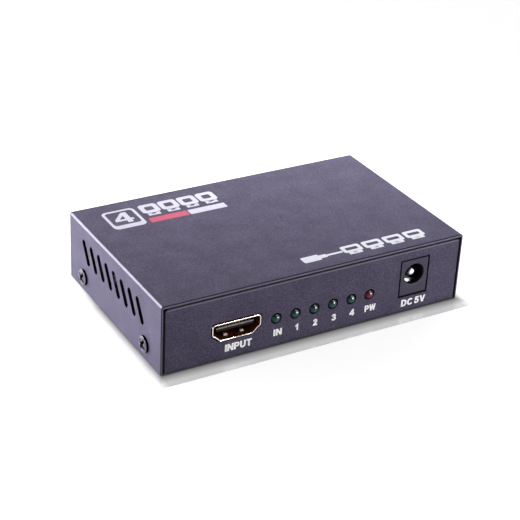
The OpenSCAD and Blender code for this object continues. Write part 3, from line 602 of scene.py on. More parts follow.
# %% Places on the panels
FLANGE_X, PANEL_Y, PANEL_TOP = (box_mm("base_tray")[1] - [0, 0, 0.04]).tolist()
PANEL_X, PANEL_ROUND, PANEL_RIM, FLANGE_TOP, FLANGE_END, FLANGE_GAP = 47.05, 1.0, 0.27, 9.2, 27.65, 1.0
BOARD_TOP = box_mm("circuit_board")[1][2]
SOCKET_Z = BOARD_TOP + 3.4
SOCKET_WIDE, SOCKET_HIGH, SOCKET_FOOT, SOCKET_SIDE, SOCKET_WALL, SOCKET_GAP = 14, 4.55, 9.6, 2.75, 0.4, 0.45
SHOULDER_WIDE, SHOULDER_HIGH, SOCKET_ROUND = 0.75, 0.35, 0.6
LAMPS = ["input", "1", "2", "3", "4", "power"]
OUTPUTS = [1, 2, 3, 4]


def middle_x(node):
    """The x of the middle of a node, in millimetres."""
    return float(sum(box_mm(node))[0] / 2)


lamp_x = [middle_x("lamp_" + name) for name in LAMPS]
lamp_z = float(sum(box_mm("lamp_input"))[2] / 2)
input_x = middle_x("input_shell")
output_x = [middle_x(f"output_shell_{i}") for i in OUTPUTS]
jack_low, jack_high = box_mm("jack_housing")
print("lamps at x =", np.round(lamp_x, 2).tolist(), "outputs at x =", np.round(output_x, 2).tolist())

# %% The D of a video socket
half, foot, top, bottom = SOCKET_WIDE / 2, SOCKET_FOOT / 2, SOCKET_HIGH / 2, -SOCKET_HIGH / 2
side, shoulder = top - SOCKET_SIDE, top - SOCKET_SIDE - SHOULDER_HIGH
right_half = np.array([[foot, bottom], [half - SHOULDER_WIDE, shoulder], [half, side], [half, top]])
left_half = right_half[::-1] * [-1, 1]
D_CORNERS = np.concatenate([left_half[-1:], right_half, left_half[:-1]])


def d_opening(centre_x, by):
    """The D-shaped opening grown by a margin; inner corners keep a radius of at least 0.2 mm."""
    corners = grown(D_CORNERS, by)
    turn = corner_frame(corners)[3]
    radius = np.where(turn > 0, SOCKET_ROUND + by, max(SOCKET_ROUND - by, 0.2))
    return rounded(corners, radius)[0] + [centre_x, SOCKET_Z]


print("the D has", len(D_CORNERS), "corners")

# %% The tray's blank
panel_start, flange_start = PANEL_Y - FOLD_RADIUS, FLANGE_X - FOLD_RADIUS
panel_run, flange_run = (start + FOLD_RUN[-1] - FOLD_RADIUS for start in (panel_start, flange_start))
up_panel = np.append(panel_start + FOLD_RUN, panel_run + PANEL_TOP)
up_flange = np.append(flange_start + FOLD_RUN, flange_run + FLANGE_TOP)

# A quarter of the outline, from the front panel's round top corner to the end of the right flange.
arc = np.linspace(0, np.pi / 2, 7)
corner = columns(PANEL_X - PANEL_ROUND * (1 - np.sin(arc)), PANEL_ROUND * (1 - np.cos(arc)) - up_panel[-1])
quarter = np.concatenate([corner, columns(PANEL_X, -up_panel[-2::-1]), columns(flange_start, -panel_start),
                          columns(up_flange, -FLANGE_END)])
outline = np.concatenate([quarter, quarter[::-1] * [1, -1], quarter * [-1, -1], quarter[::-1] * [-1, 1]])


def numbered(*places):
    """The outline's numbers of some of its points."""
    return [int(np.argmin(np.linalg.norm(outline - place, axis=1))) for place in places]


bead_x, bead_y = corner[4]
folds = [numbered((-PANEL_X, side * y), (PANEL_X, side * y)) for side in SIDES for y in up_panel[1:-1]]
folds += [numbered((-flange_start, side * panel_start), (flange_start, side * panel_start)) for side in SIDES]
folds += [numbered((side * x, -FLANGE_END), (side * x, FLANGE_END)) for side in SIDES for x in up_flange[:-1]]
folds += [numbered((-bead_x, side * bead_y), (bead_x, side * bead_y)) for side in SIDES]
print("the tray's blank is", round(2 * up_flange[-1], 1), "x", round(2 * up_panel[-1], 1), "mm")

# %% The tray's holes
LAMP_HOLE, STUD_HOLE, TAPPED_HOLE, STUD_RADIUS = 3.4, 4.3, 3.1, 2.5
JACK_GAP = np.array([[0.6, 0.5], [0.35, 0.6]])


def on_panel(loop, side):
    """A loop drawn on an end panel as (x, z), laid back onto the flat blank."""
    return columns(loop[:, 0], side * (panel_run + loop[:, 1]))


def on_flange(loop, side):
    """A loop drawn on a side flange as (y, z), laid back onto the flat blank."""
    return columns(side * (flange_run + loop[:, 1]), loop[:, 0])


low, high = box_mm("board_standoffs")
studs = box_corners(low[:2] + STUD_RADIUS, high[:2] - STUD_RADIUS)
jack_hole = round_box((jack_low[0], BOARD_TOP) - JACK_GAP[0], jack_high[[0, 2]] + JACK_GAP[1], 0.2)
cutout = SOCKET_WALL + SOCKET_GAP
holes = [on_panel(d_opening(input_x, cutout), -1), on_panel(jack_hole, -1)]
holes += [on_panel(ring((x, lamp_z), LAMP_HOLE), -1) for x in lamp_x]
holes += [on_panel(d_opening(x, cutout), 1) for x in output_x]
holes += [ring(place, STUD_HOLE) for place in studs]
holes += [on_flange(ring((y, SCREW_Z), TAPPED_HOLE), side) for side, y in SCREWS]
print("tray:", len(holes), "holes")

# %% The tray


def fold_tray(flat, depth):
    """The blank folded up at its four sides. Points of the flanges bend about y; all the others bend
    about x, which leaves the floor flat."""
    across, rise = quarter_bend(flat[:, 0], flange_start, FOLD_RADIUS, depth)
    along, lift = quarter_bend(flat[:, 1], panel_start, FOLD_RADIUS, depth)
    flange = np.abs(flat[:, 1]) < FLANGE_END + FLANGE_GAP / 2
    return columns(np.where(flange, across, flat[:, 0]), along, np.where(flange, rise, lift))


shape = sheet(punched(outline, holes, folds), fold_tray, SHEET, flipped=True)
# The tray's inner skin gets the same painted shade.
tray = put_piece("tray", shape, case_paint, ["base_tray"], marks={"inner_shade": inner_shade(shape)})
tray.data.materials.append(painted_edge_highlight)
# Painted highlight: a pale band along the tops of the panels.
_, y, z = np.abs(gathered(tray.data.polygons, "center")).T / MM
highlit = (y > PANEL_Y - HAIR) & (z > PANEL_TOP - PANEL_ROUND / 2)
tray.data.polygons.foreach_set("material_index", highlit.astype(np.int32))
x, y, z = np.abs(shape[0]).T
at_rim = (y > PANEL_Y - HAIR) & ((z > PANEL_TOP - PANEL_ROUND) | (x > PANEL_X - HAIR))
# Painted shade on the rounded cut edges of the panels.
round_rim(tray, at_rim, PANEL_RIM, painted_edge_shade)
print("tray:", len(tray.data.polygons), "faces,", int(highlit.sum()), "of them beaded")

# %% [markdown]
# ## Printed legends
# The legends are screen printed in white, in a plain bold hand. A font would do, but its stems are
# too thin for this print, so each letter is drawn here as a loop on a square whose side is the
# letter's height, with its corners rounded as ink rounds them. Ink has a fine grain between its thin
# places, where the paint greys it, and its thick ones. The legends' white also glows with a little
# light of its own, painted light that no lamp gives.

# %% White, grey and red ink
PRINT = {"detail": 3, "end": 0.65, "Roughness": 0.55, "Specular_IOR_Level": 0.25}
# Painted light: the white legend ink glows with a little light of its own.
glowing_legend_ink = grained("glowing_legend_ink", 0.25, (240, 240, 245), (254, 254, 255), Emission_Color=(1, 1, 1, 1),
                     Emission_Strength=0.2, **PRINT)
cover_ink = grained("cover_ink", 0.25, (203, 203, 213), (219, 219, 229), **PRINT)
grey_ink = grained("grey_ink", 0.25, (184, 182, 197), (198, 196, 211), **PRINT)
red_ink = grained("red_ink", 0.25, (174, 60, 88), (192, 82, 108), **PRINT)
print("four inks made")

# %% Letters and figures


def bow(centre, radius, start, end, steps=14):
    """Points on an ellipse about a centre, with two radii, between two angles in degrees."""
    return (np.array(centre) + radius * around(np.radians(np.linspace(start, end, steps)))).tolist()


LETTERS = {
    "I": [[(0, 0), (.21, 0), (.21, 1), (0, 1)]],
    "N": [[(0, 0), (.2, 0), (.2, .655), (.575, 0), (.8, 0), (.8, 1), (.6, 1), (.6, .345), (.225, 1), (0, 1)]],
    "T": [[(.255, 0), (.465, 0), (.465, .83), (.72, .83), (.72, 1), (0, 1), (0, .83), (.255, .83)]],
    "V": [[(.29, 0), (.51, 0), (.8, 1), (.58, 1), (.4, .27), (.22, 1), (0, 1)]],
    "W": [[(.2, 0), (.4, 0), (.56, .66), (.72, 0), (.92, 0), (1.12, 1), (.91, 1), (.8, .36), (.65, 1), (.47, 1),
           (.32, .36), (.21, 1), (0, 1)]],
    "P": [[(0, 0), (.21, 0), (.21, .36), *bow((.4, .68), (.32, .32), -90, 90), (0, 1)],
          [(.21, .53), *bow((.38, .68), (.15, .15), -90, 90), (.21, .83)]],
    "D": [[(0, 0), *bow((.34, .5), (.43, .5), -90, 90), (0, 1)],
          [(.21, .17), *bow((.33, .5), (.22, .33), -90, 90), (.21, .83)]],
    "C": [[*bow((.41, .5), (.41, .51), 40, 320, 22), *bow((.41, .5), (.2, .34), 320, 40, 18)]],
    "U": [[(0, 1), *bow((.38, .38), (.38, .39), 180, 360), (.76, 1), (.55, 1), *bow((.38, .38), (.17, .2), 360, 180),
           (.21, 1)]],
    "1": [[(.24, 0), (.45, 0), (.45, 1), (.29, 1), (.2, .86), (0, .75), (0, .58), (.24, .7)]],
    "2": [[(0, 0), (.65, 0), (.65, .18), (.28, .18), (.5, .38), (.61, .53), (.645, .7), (.6, .86), (.49, .965),
           (.33, 1), (.17, .965), (.06, .87), (.02, .71), (.215, .69), (.245, .79), (.33, .835), (.415, .8),
           (.445, .71), (.41, .6), (.3, .47), (.12, .3), (.03, .15)]],
    "3": [[(0, .26), (.05, .11), (.16, .02), (.32, -.01), (.5, .03), (.62, .13), (.66, .28), (.62, .42), (.51, .51),
           (.6, .61), (.63, .73), (.59, .88), (.48, .98), (.32, 1.01), (.16, .97), (.06, .88), (.02, .74), (.21, .71),
           (.24, .8), (.32, .845), (.4, .81), (.43, .73), (.39, .63), (.28, .595), (.23, .595), (.25, .44), (.33, .45),
           (.42, .405), (.455, .29), (.42, .19), (.32, .15), (.24, .18), (.2, .285)]],
    "4": [[(.4, 0), (.6, 0), (.6, .21), (.7, .21), (.7, .38), (.6, .38), (.6, 1), (.41, 1), (0, .38), (0, .21),
           (.4, .21)], [(.18, .38), (.4, .38), (.4, .7)]],
    "5": [[(0, .27), (.05, .11), (.16, .02), (.32, -.01), (.5, .04), (.62, .16), (.66, .33), (.61, .52), (.5, .63),
           (.36, .66), (.26, .64), (.28, .82), (.62, .82), (.62, 1), (.13, 1), (.04, .48), (.22, .45), (.33, .505),
           (.43, .455), (.46, .335), (.43, .2), (.33, .145), (.24, .175), (.2, .28)]],
}
print("signs:", "".join(LETTERS))

# %% Legends on the front panel
LETTER_GAP, WORD_GAP, INK_SPREAD, INK_ROUND = 0.13, 0.36, 0.03, 0.025
LEGENDS = {"input": ("INPUT", -28.8, -20.6, 2.4, 4.5), "in": ("IN", -13.8, -11.2, 3.3, 5.3),
           "one": ("1", -6.9, -6.0, 3.3, 5.3), "two": ("2", -1.2, 0.2, 3.3, 5.3),
           "three": ("3", 4.9, 6.3, 3.3, 5.3), "four": ("4", 10.8, 12.4, 3.3, 5.3),
           "power": ("PW", 15.9, 19.5, 3.3, 5.3), "supply": ("DC 5V", 28.5, 36.8, 1.85, 3.95)}


def inked(loop, spread):
    """A letter's loop, spread outwards as wet ink spreads, with its corners rounded a little and
    without points that fall together."""
    points = rounded(grown(loop, spread), INK_ROUND, 3)[0]
    return points[np.linalg.norm(points - np.roll(points, 1, axis=0), axis=1) > 1e-4]


def word(text):
    """Flat letters side by side: points, one height tall, and blocks of triangles."""
    pen, parts = 0.0, []
    for sign in text:
        if sign == " ":
            pen += WORD_GAP - LETTER_GAP
            continue
        loops = [np.array(loop, float) for loop in LETTERS[sign]]
        flat, triangles, _ = punched(inked(loops[0], INK_SPREAD), [inked(loop, -INK_SPREAD) for loop in loops[1:]])
        parts.append((flat + [pen, 0], [triangles]))
        pen += loops[0][:, 0].max() + LETTER_GAP
    return joined(*parts)


for name, (text, left, right, low_z, high_z) in LEGENDS.items():
    flat, triangles = word(text)
    x, z = flat.T
    points = columns(left + x * (right - left) / x.max(), -PANEL_Y - INK, low_z + z * (high_z - low_z))
    put_piece("legend_" + name, (points, triangles), glowing_legend_ink, smooth=False)
print("legends:", ", ".join(LEGENDS))

# %% [markdown]
# ## Pictograms on the cover
# Two printed marks say what the box does without words: a framed figure for the number of outputs with
# a row of four plain screens over a red rule at the rear, and one plug that branches to four screens
# at the front. The rear is nearer to the light, so its print is a shade greyer to look the same.

# %% Shapes of the pictograms


def mark(loops):
    """A flat printed shape on the cover: its first loop is its outline, the others are holes."""
    flat, triangles, _ = punched(loops[0], loops[1:])
    return columns(*flat.T, COVER_TOP + INK), [triangles]


def bar(left, low, right, high, radius):
    """A filled rectangle with round corners."""
    return [round_box((left, low), (right, high), radius, 4)]


def screens(first, apart, low, wide, high, line):
    """Four screens in a row, each an outline and its stand, as one frame and two bars."""
    shapes, frame_low = [], low + 0.24 * high
    for left in first + apart * np.arange(4):
        right, centre = left + wide, left + wide / 2
        shapes += [[round_box((left, frame_low), (right, low + high), 0.16 * high, 5),
                    round_box((left + line, frame_low + line), (right - line, low + high - line), 0.07 * high, 5)],
                   bar(centre - line / 2, low + line / 2, centre + line / 2, frame_low, 0.02),
                   bar(centre - 0.34 * wide, low, centre + 0.34 * wide, low + line, 0.1)]
    return shapes


print("a row of screens has", len(screens(0, 7, 0, 6, 5, 1)), "shapes")

# %% Printing the pictograms
FRAME = [round_box((-40.8, 13.9), (-30.6, 24.9), 1.6), round_box((-39.9, 16.0), (-31.5, 24.0), 0.9)]
FIGURE = [np.array(loop) * [8.2, 6.2] + [-38.6, 16.9] for loop in LETTERS["4"]]
WHITE_BAR, RED_BAR = bar(-16.9, 13.9, -4.9, 16.7, 0.3), bar(-29.4, 13.9, -17.3, 16.7, 0.3)
PLUG = [bar(-2.2, -25.3, 3.4, -22.2, 0.5), bar(3.4, -24.6, 5.6, -22.9, 0.1), bar(5.6, -24.2, 10.8, -23.3, 0.1)]
prints = {"screens": ([FRAME, FIGURE, *screens(-29.2, 6.2, 18.0, 5.7, 7.0, 1.5), WHITE_BAR], grey_ink),
          "rule": ([RED_BAR], red_ink),
          "branches": ([*PLUG, *screens(11.0, 7.0, -26.2, 6.2, 4.9, 1.15)], cover_ink)}
for name, (shapes, finish) in prints.items():
    put_piece("print_" + name, joined(*map(mark, shapes)), finish, smooth=False)
print("pictograms:", sum(len(shapes) for shapes, _ in prints.values()), "shapes")

# %% [markdown]
# ## Turned pieces
# Screws, lamps and the power pin are lathe work: a profile of (radius, height) pairs swung round an
# axis. Their poles close when the points there are merged.

# %% Turning


def turned(profile, steps=48):
    """A profile swung round the z axis: x and y are the radius times the cosine and sine of the
    angle, z is the height. A profile from the low pole to the high pole faces outwards."""
    ways = around(np.linspace(0, 2 * np.pi, steps, endpoint=False))
    points = columns(*(profile[:, :1] * ways[:, axis] for axis in (0, 1)), profile[:, 1:])
    return points.reshape(-1, 3), [grid_quads(len(profile), steps, closed=True)]


def round_profile(knots, radius, steps=5):
    """A profile of straight runs with its inner corners rounded. Each corner becomes a quadratic curve
    that starts and ends at the radius times the tangent of half the turn from it."""
    knots = np.array(knots, float)
    ways = unit(np.diff(knots, axis=0))
    turn = np.arccos((ways[:-1] * ways[1:]).sum(axis=1).clip(-1, 1))
    reach = radius * np.tan(turn / 2)[:, None]
    share = np.linspace(0, 1, steps + 1)[None, :, None]
    corner = knots[1:-1, None]
    start, end = corner - (ways[:-1] * reach)[:, None], corner + (ways[1:] * reach)[:, None]
    curve = (1 - share) ** 2 * start + 2 * share * (1 - share) * corner + share ** 2 * end
    return np.concatenate([knots[:1], curve.reshape(-1, 2), knots[-1:]])


print("a turned cone has", len(turned(np.array([[0, 0], [1, 0], [0, 1]]))[1][0]), "quads")

# %% [markdown]
# ## Case screws
# Four black pan-head screws hold the cover to the tray's flanges. The head is a turned crown, and
# the cross recess is pressed into it by lowering each point by a depth that depends on its place in
# the cross. The finish is black oxide on turned steel. In the cross recess and on the head's side it is
# painted black, as painted shade.

# %% Screw steel
screw_steel, tree, shader = new_finish("screw_steel")
turning, sunk = grain(tree, 0.35, 3), read_off(tree, "sunk")
oxide = coloured(tree, turning, (0.30, paint(56, 52, 68)), (0.70, paint(78, 73, 92)))
# Painted shade: near black and without shine in the cross recess and on the head's side.
wire(shader, {"Base Color": layered(tree, sunk, oxide, paint(5, 4, 8)),
              "Specular IOR Level": between(tree, sunk, 0.5, 0, 0, 1),
              "Roughness": between(tree, turning, 0.28, 0.38)})
relief(tree, shader, turning, 0.01, 0.4)
print("made", screw_steel.name)

# %% The shape of a screw
HEAD_RIM, SHANK_RADIUS, SHANK_LENGTH, POINT, EASE = 0.65 * HEAD_HEIGHT, 1.5, 4.0, 0.3, 0.12
CROSS_ARM, CROSS_WIDE, CROSS_DEEP, CROSS_WALL = 1.8, 0.95, 0.75, 0.10
SCREW_STEPS = 96
crown_radius = (HEAD_RADIUS ** 2 + (HEAD_HEIGHT - HEAD_RIM) ** 2) / (2 * (HEAD_HEIGHT - HEAD_RIM))


def crown_height(radius):
    """Height of the head over its seat: a shallow ball's surface."""
    return HEAD_HEIGHT - crown_radius + np.sqrt(crown_radius ** 2 - radius ** 2)


def cross_depth(x, y):
    """Depth of a cross recess: full in the middle of either arm, falling to nothing within a tenth of
    a millimetre of the arm's side, and shallower towards the arm's end."""
    x, y = np.abs(x), np.abs(y)
    across = np.minimum(np.maximum(x - CROSS_ARM, y - CROSS_WIDE / 2), np.maximum(y - CROSS_ARM, x - CROSS_WIDE / 2))
    wall = np.clip(0.5 - across / CROSS_WALL, 0, 1)
    return CROSS_DEEP * wall * wall * (3 - 2 * wall) * (1 - 0.35 * np.hypot(x, y) / CROSS_ARM)


crown_r = np.linspace(HEAD_RADIUS - EASE, 0, 44)
crown = columns(crown_r, crown_height(crown_r))
rim = round_profile([(0, -SHANK_LENGTH), (SHANK_RADIUS - POINT, -SHANK_LENGTH), (SHANK_RADIUS, POINT - SHANK_LENGTH),
                     (SHANK_RADIUS, 0), (HEAD_RADIUS, 0), (HEAD_RADIUS, HEAD_RIM), crown[0]], 0.1)
screw_points, screw_faces = turned(np.concatenate([rim[:-1], crown]), SCREW_STEPS)
on_crown = np.arange(len(screw_points)) >= SCREW_STEPS * (len(rim) - 1)
screw_points[:, 2] -= np.where(on_crown, cross_depth(*screw_points[:, :2].T), 0)
print("a screw has", len(screw_points), "points")

# %% Case screws
SCREW_TURNS = np.radians([61, 55, 33, 74])


def into_wall(shape, side, y, seat, turn=0.0):
    """A turned shape, turned about its axis by an angle, its axis along x, its zero at the seat."""
    (x, z, out), faces = shape[0].T, shape[1]
    x, z = x * np.cos(turn) - z * np.sin(turn), x * np.sin(turn) + z * np.cos(turn)
    return columns(side * (seat + out), y + side * x, SCREW_Z + z), faces


placed = [into_wall((screw_points, screw_faces), *place, COVER_X, turn) for place, turn in zip(SCREWS, SCREW_TURNS)]
screws = put_piece("cover_screws", joined(*placed), screw_steel, ["case_screws"])
out, y, z = (np.abs(gathered(screws.data.vertices, "co")) / MM - [COVER_X, SCREW_Y, SCREW_Z]).T
radius = np.hypot(y, z)
# Painted shade: one on the side of the head, and growing with the depth inside the cross recess.
sunk = np.where((radius < CROSS_ARM + CROSS_WALL) & (out > 0), crown_height(radius.clip(0, HEAD_RADIUS)) - out, 0)
dark = np.where(out < 0.9 * HEAD_RIM, 1, sunk / (0.3 * CROSS_DEEP))
write_on(screws.data, "sunk", np.clip(dark, 0, 1))
print("screws:", len(screws.data.vertices), "points")

# %% [markdown]
# ## Drawn collars
# The flanges are too thin for a thread, so a punch draws a collar out of the sheet round each screw
# hole, to the inside. It is a turned ring that laps into the sheet by a tenth of a millimetre.

# %% Drawn collars
COLLAR_INNER, COLLAR_OUTER, COLLAR_LENGTH, COLLAR_LAP = 1.55, 2.15, 1.0, 0.1
collar_top = COLLAR_LENGTH + COLLAR_LAP
collar = turned(round_profile([(COLLAR_INNER, 0), (COLLAR_OUTER, 0), (COLLAR_OUTER, collar_top),
                               (COLLAR_INNER, collar_top), (COLLAR_INNER, 0)], 0.08))
placed = [into_wall(collar, *place, FLANGE_X - SHEET - COLLAR_LENGTH) for place in SCREWS]
put_piece("drawn_collars", joined(*placed), case_paint)
print("collars:", len(placed))

# %% [markdown]
# ## Video sockets
# Each socket is a shell folded from thin plated sheet round a D. Two spring fingers in its upper and
# lower walls grip the plug. The shell is again a punched blank: the blank's long side is wrapped
# round the D, with a butt seam under the middle, and its mouth flares a little. Behind the mouth the
# finish is painted dark with the depth written on its points: brown inside, as a painted reflection of
# the dark case, and black outside, as painted shade. The tips of the spring fingers are painted pale
# and matt, as a painted highlight.

# %% Plated sheet
socket_shell, tree, shader = new_finish("socket_shell")
rolling, spring = grain(tree, 0.8, 2, stretch=(1, 6, 1)), read_off(tree, "spring")
# Painted reflection and painted shade: darker with depth behind the mouth, near black on the outside.
deep = between(tree, read_off(tree, "depth"), 0, 1, 0.10, 0.30)
hidden = between(tree, read_off(tree, "outside"), 0, 1, 0.10, 0.30)
plated = coloured(tree, rolling, (0.30, paint(230, 216, 206)), (0.70, paint(244, 232, 224)))
walls = layered(tree, hidden, layered(tree, deep, plated, paint(88, 46, 36)), paint(16, 13, 15))
mirrors = worked(tree, "MINIMUM", between(tree, spring, 1, 0.2, 0, 1), between(tree, deep, 1, 0.3, 0, 1))
rough = worked(tree, "ADD", between(tree, rolling, 0.07, 0.13), between(tree, spring, 0, 0.4, 0, 1))
# Painted highlight: pale, matt tips of the spring fingers.
skin = layered(tree, spring, walls, paint(250, 238, 228))
wire(shader, {"Base Color": skin, "Metallic": mirrors, "Roughness": rough})
print("made", socket_shell.name)

# %% The shell's blank
SOCKET_LENGTH, SEAM, SHELL_SHEET, CORNER_STEPS = 11.5, 0.03, 0.28, 5
FINGER_WIDE, FINGER_LONG, FINGER_APART, FINGER_BACK, FINGER_DIP, FINGER_GAP = 1.1, 5.0, 5.0, 1.6, 0.45, 0.2
d_points, d_normals = rounded(D_CORNERS, SOCKET_ROUND, CORNER_STEPS)


def from_seam(rows, seam):
    """The D's rows from the seam under its middle, past its first corner, and all the way round."""
    return np.concatenate([[seam], np.roll(rows, -CORNER_STEPS - 1, axis=0), [seam]])


loop_points, loop_normals = from_seam(d_points, (0, bottom)), from_seam(d_normals, (0, -1))
loop_run = np.append(0, np.cumsum(np.linalg.norm(np.diff(loop_points, axis=0), axis=1)))
folds_at = np.concatenate([[SEAM], loop_run[1:-1], [loop_run[-1] - SEAM]])
outline, folds = strip_blank(folds_at, 0, SOCKET_LENGTH)
top_run = float(loop_run[-1] / 2)
print("the D is", round(float(loop_run[-1]), 2), "mm round; its upper middle is at", round(top_run, 2))

# %% Windows for the spring fingers
window_half, window_long = FINGER_WIDE / 2 + FINGER_GAP, FINGER_LONG + FINGER_GAP
window_low = FINGER_BACK - FINGER_GAP
window_runs = [top_run - FINGER_APART / 2, top_run + FINGER_APART / 2, FINGER_APART / 2,
               loop_run[-1] - FINGER_APART / 2]
windows = [round_box((run - window_half, window_low), (run + window_half, window_low + window_long), 0.25, 4)
           for run in window_runs]
blank = punched(outline, windows, folds)
print("the shell's blank has", len(blank[1]), "triangles")

# %% Wrapping, bending and solder legs


def wrap_shell(flat, depth):
    """The blank wrapped round the D: a point's place and normal are read off the loop at its run, and
    it stands off by the wall less its depth. Within half a millimetre of the mouth it flares."""
    x, z, normal_x, normal_z = (np.interp(flat[:, 0], loop_run, values) for values in (*loop_points.T, *loop_normals.T))
    off = SOCKET_WALL - depth + 0.03 * np.clip(1 - flat[:, 1] / 0.5, 0, 1) ** 2
    return columns(x + normal_x * off, flat[:, 1], SOCKET_Z + (z + normal_z * off))


def bent_strip(path, centre_x, width, thickness):
    """A flat strip carried along a path of (y, z) points: its four edge lines lie half a thickness
    either side of the path, along the path's normal, and half a width either side of its middle."""
    along = unit(np.gradient(path, axis=0))
    normal = along[:, ::-1] * [-1, 1]
    upper, lower = path + normal * thickness / 2, path - normal * thickness / 2
    corners = [(-1, upper), (1, upper), (1, lower), (-1, lower)]
    points = np.stack([columns(centre_x + side * width / 2, *edge.T) for side, edge in corners], axis=1)
    last = 4 * (len(path) - 1)
    caps = np.array([[0, 1, 2, 3], [last + 3, last + 2, last + 1, last]])
    return points.reshape(-1, 3), [grid_quads(len(path), 4, closed=True), caps]


def finger_path(wall_z, way):
    """Middle line of a spring finger: it leaves the wall smoothly, dips to a crest a quarter of its
    length from the tip and curls back half way."""
    y = np.linspace(FINGER_BACK, FINGER_BACK + FINGER_LONG + 0.7, 25)
    crest, root = FINGER_BACK + FINGER_LONG / 4, FINGER_BACK + FINGER_LONG
    rise = np.clip((root - y) / (root - crest), 0, 1)
    curl = np.clip((crest - y) / (crest - FINGER_BACK), 0, 1)
    dip = (FINGER_DIP + SOCKET_WALL / 2) * rise * rise * (3 - 2 * rise) - FINGER_DIP * 0.9 * curl ** 4
    return columns(y, wall_z + way * dip)


def block(low, high):
    """A plain box, for the solder legs that end under the board."""
    points = np.stack(np.meshgrid(*np.transpose([low, high]), indexing="ij"), axis=-1).reshape(-1, 3)
    return points, [np.array([[0, 1, 3, 2], [4, 6, 7, 5], [0, 4, 5, 1], [2, 3, 7, 6], [0, 2, 6, 4], [1, 5, 7, 3]])]


print("a finger's path has", len(finger_path(0, 1)), "points")

# %% A whole socket
FINGER_SHEET, LEG_X, LEG_Y, LEG_LOW = 0.2, (-7.2, 7.2), (4.6, 9.6), BOARD_TOP - 2.6
leg_half = np.array([0.2, 0.7])
shell = sheet(blank, wrap_shell, SHELL_SHEET, flipped=True)
wall_middle = SOCKET_HIGH / 2 + SOCKET_WALL - SHELL_SHEET / 2
fingers = [bent_strip(finger_path(SOCKET_Z - way * wall_middle, way), side * FINGER_APART / 2,
                      FINGER_WIDE, FINGER_SHEET) for way in SIDES for side in SIDES]
legs = [block((*((x, y) - leg_half), LEG_LOW), (*((x, y) + leg_half), SOCKET_Z)) for x in LEG_X for y in LEG_Y]
socket_points, socket_faces = joined(shell, *fingers, *legs)
skin, both_skins = len(blank[0]), len(shell[0])
depth, outside, spring = np.zeros((3, len(socket_points)))
# Marks for painted shade and painted reflection behind the mouth, and a painted highlight near each finger's tip.
outside[:skin] = depth[:skin] = depth[skin:both_skins] = blank[0][:, 1]
depth[both_skins:] = 1
spring[both_skins:] = np.clip(1.3 - (socket_points[both_skins:, 1] - FINGER_BACK) / 0.5, 0, 1)
marks = {"depth": depth, "outside": outside, "spring": spring}
print("a socket has", len(socket_points), "points")

# %% Five sockets in their panels
MOUTH_Y, BLUNT_TURN = 29.85, np.radians(50)
sockets = {"input_shell": (input_x, 1), **{f"output_shell_{i}": (x, -1) for i, x in zip(OUTPUTS, output_x)}}
for node, (x, way) in sockets.items():
    points = socket_points * [way, way, 1] + [x, -way * MOUTH_Y, 0]
    piece = put_piece("dressed_" + node, (points, socket_faces), socket_shell, [node], marks=marks)
    soften(piece, 0.07, BLUNT_TURN)
print("sockets:", ", ".join(sockets))

# %% [markdown]
# ## Lamps
# Each lamp is a tinted lens with a round nose. The tint is deep, so its rim is nearly black, and the
# light that the dome gathers shows as a brighter patch a little away from the lamp above. The patch
# is written on the points as one less the square of their distance from it, and the finish reads it.

# %% The shape and tint of a lens
LAMP_RADIUS, LAMP_FLANGE, LAMP_LENGTH = 1.5, 1.9, 5.3
lamp_base = float(box_mm("lamp_input")[1][1])
dome = LAMP_RADIUS * around(np.linspace(0, np.pi / 2, 20)) + [0, LAMP_LENGTH - LAMP_RADIUS]
stem = round_profile([(0, 0), (LAMP_FLANGE, 0), (LAMP_FLANGE, 1), (LAMP_RADIUS, 1), dome[0]], 0.08)
lens = turned(np.concatenate([stem[:-1], dome]), 64)


def facing_front(shape, x, y, z):
    """A turned shape with its axis towards the front and its zero at a place."""
    (across, up, out), faces = shape[0].T, shape[1]
    return columns(x + across, y - out, z + up), faces


def lens_finish(name, dark, middle, bright):
    """Tinted lens: its colour follows the gathered light, with a fine cloudiness."""
    material, tree, shader = new_finish(name, Roughness=0.24, Specular_IOR_Level=0.3)
    clouded = mixed(tree, 0.12, read_off(tree, "gathered_light"), grain(tree, 0.6, 2))
    tints = (0.05, paint(*dark)), (0.45, paint(*middle)), (0.95, paint(*bright))
    wire(shader, {"Base Color": coloured(tree, clouded, *tints)})
    return material


lens_finishes = {"lamp_green": lens_finish("lamp_green", (5, 17, 19), (8, 55, 54), (18, 90, 84)),
                 "lamp_red": lens_finish("lamp_red", (22, 2, 12), (92, 8, 48), (134, 24, 74))}
print("a lens has", len(lens[0]), "points")

# %% Lamps
PATCH_OFF, PATCH_SIZE, NOSE_FROM = 0.22, 0.95, 3.5
for name, x in zip(LAMPS, lamp_x):
    slot = "lamp_red" if name == "power" else "lamp_green"
    place = x, lamp_base, lamp_z
    lamp = put_piece("lens_" + name, facing_front(lens, *place), lens_finishes[slot], ["lamp_" + name])
    across, out, up = ((gathered(lamp.data.vertices, "co") / MM - place) * [1, -1, 1]).T
    off = np.hypot(across / LAMP_RADIUS + PATCH_OFF, up / LAMP_RADIUS + PATCH_OFF)
    write_on(lamp.data, "gathered_light", np.clip(1 - (off / PATCH_SIZE) ** 2, 0, 1) * (out > NOSE_FROM))
print("lamps:", ", ".join(LAMPS))

# %% [markdown]
# ## Power jack
# The moulded block and its terminals keep their CAD shapes; the block gets soft edges. The centre pin
# gets a turned, rounded tip, because its shine is what the eye finds in the bore, and the spring leaf
# is made again as one smooth strip. The block's plastic looks grey on its face, where the light of the
# room falls on it, and black behind. A socket's tongue has a pale line painted along its lip, a painted highlight.

# %% Plastics and plated metal
FACE_FADE, LIP_FADE, LIP_FROM, LIP_DROP = (0.04, 0.14), (-0.26, -0.18), (28.5, 28.6), 1.4


def ramp(tree, value, low, high):
    """Zero below a length in millimetres, one above another, and even between them."""
    return between(tree, value, 0, 1, low * MM, high * MM)


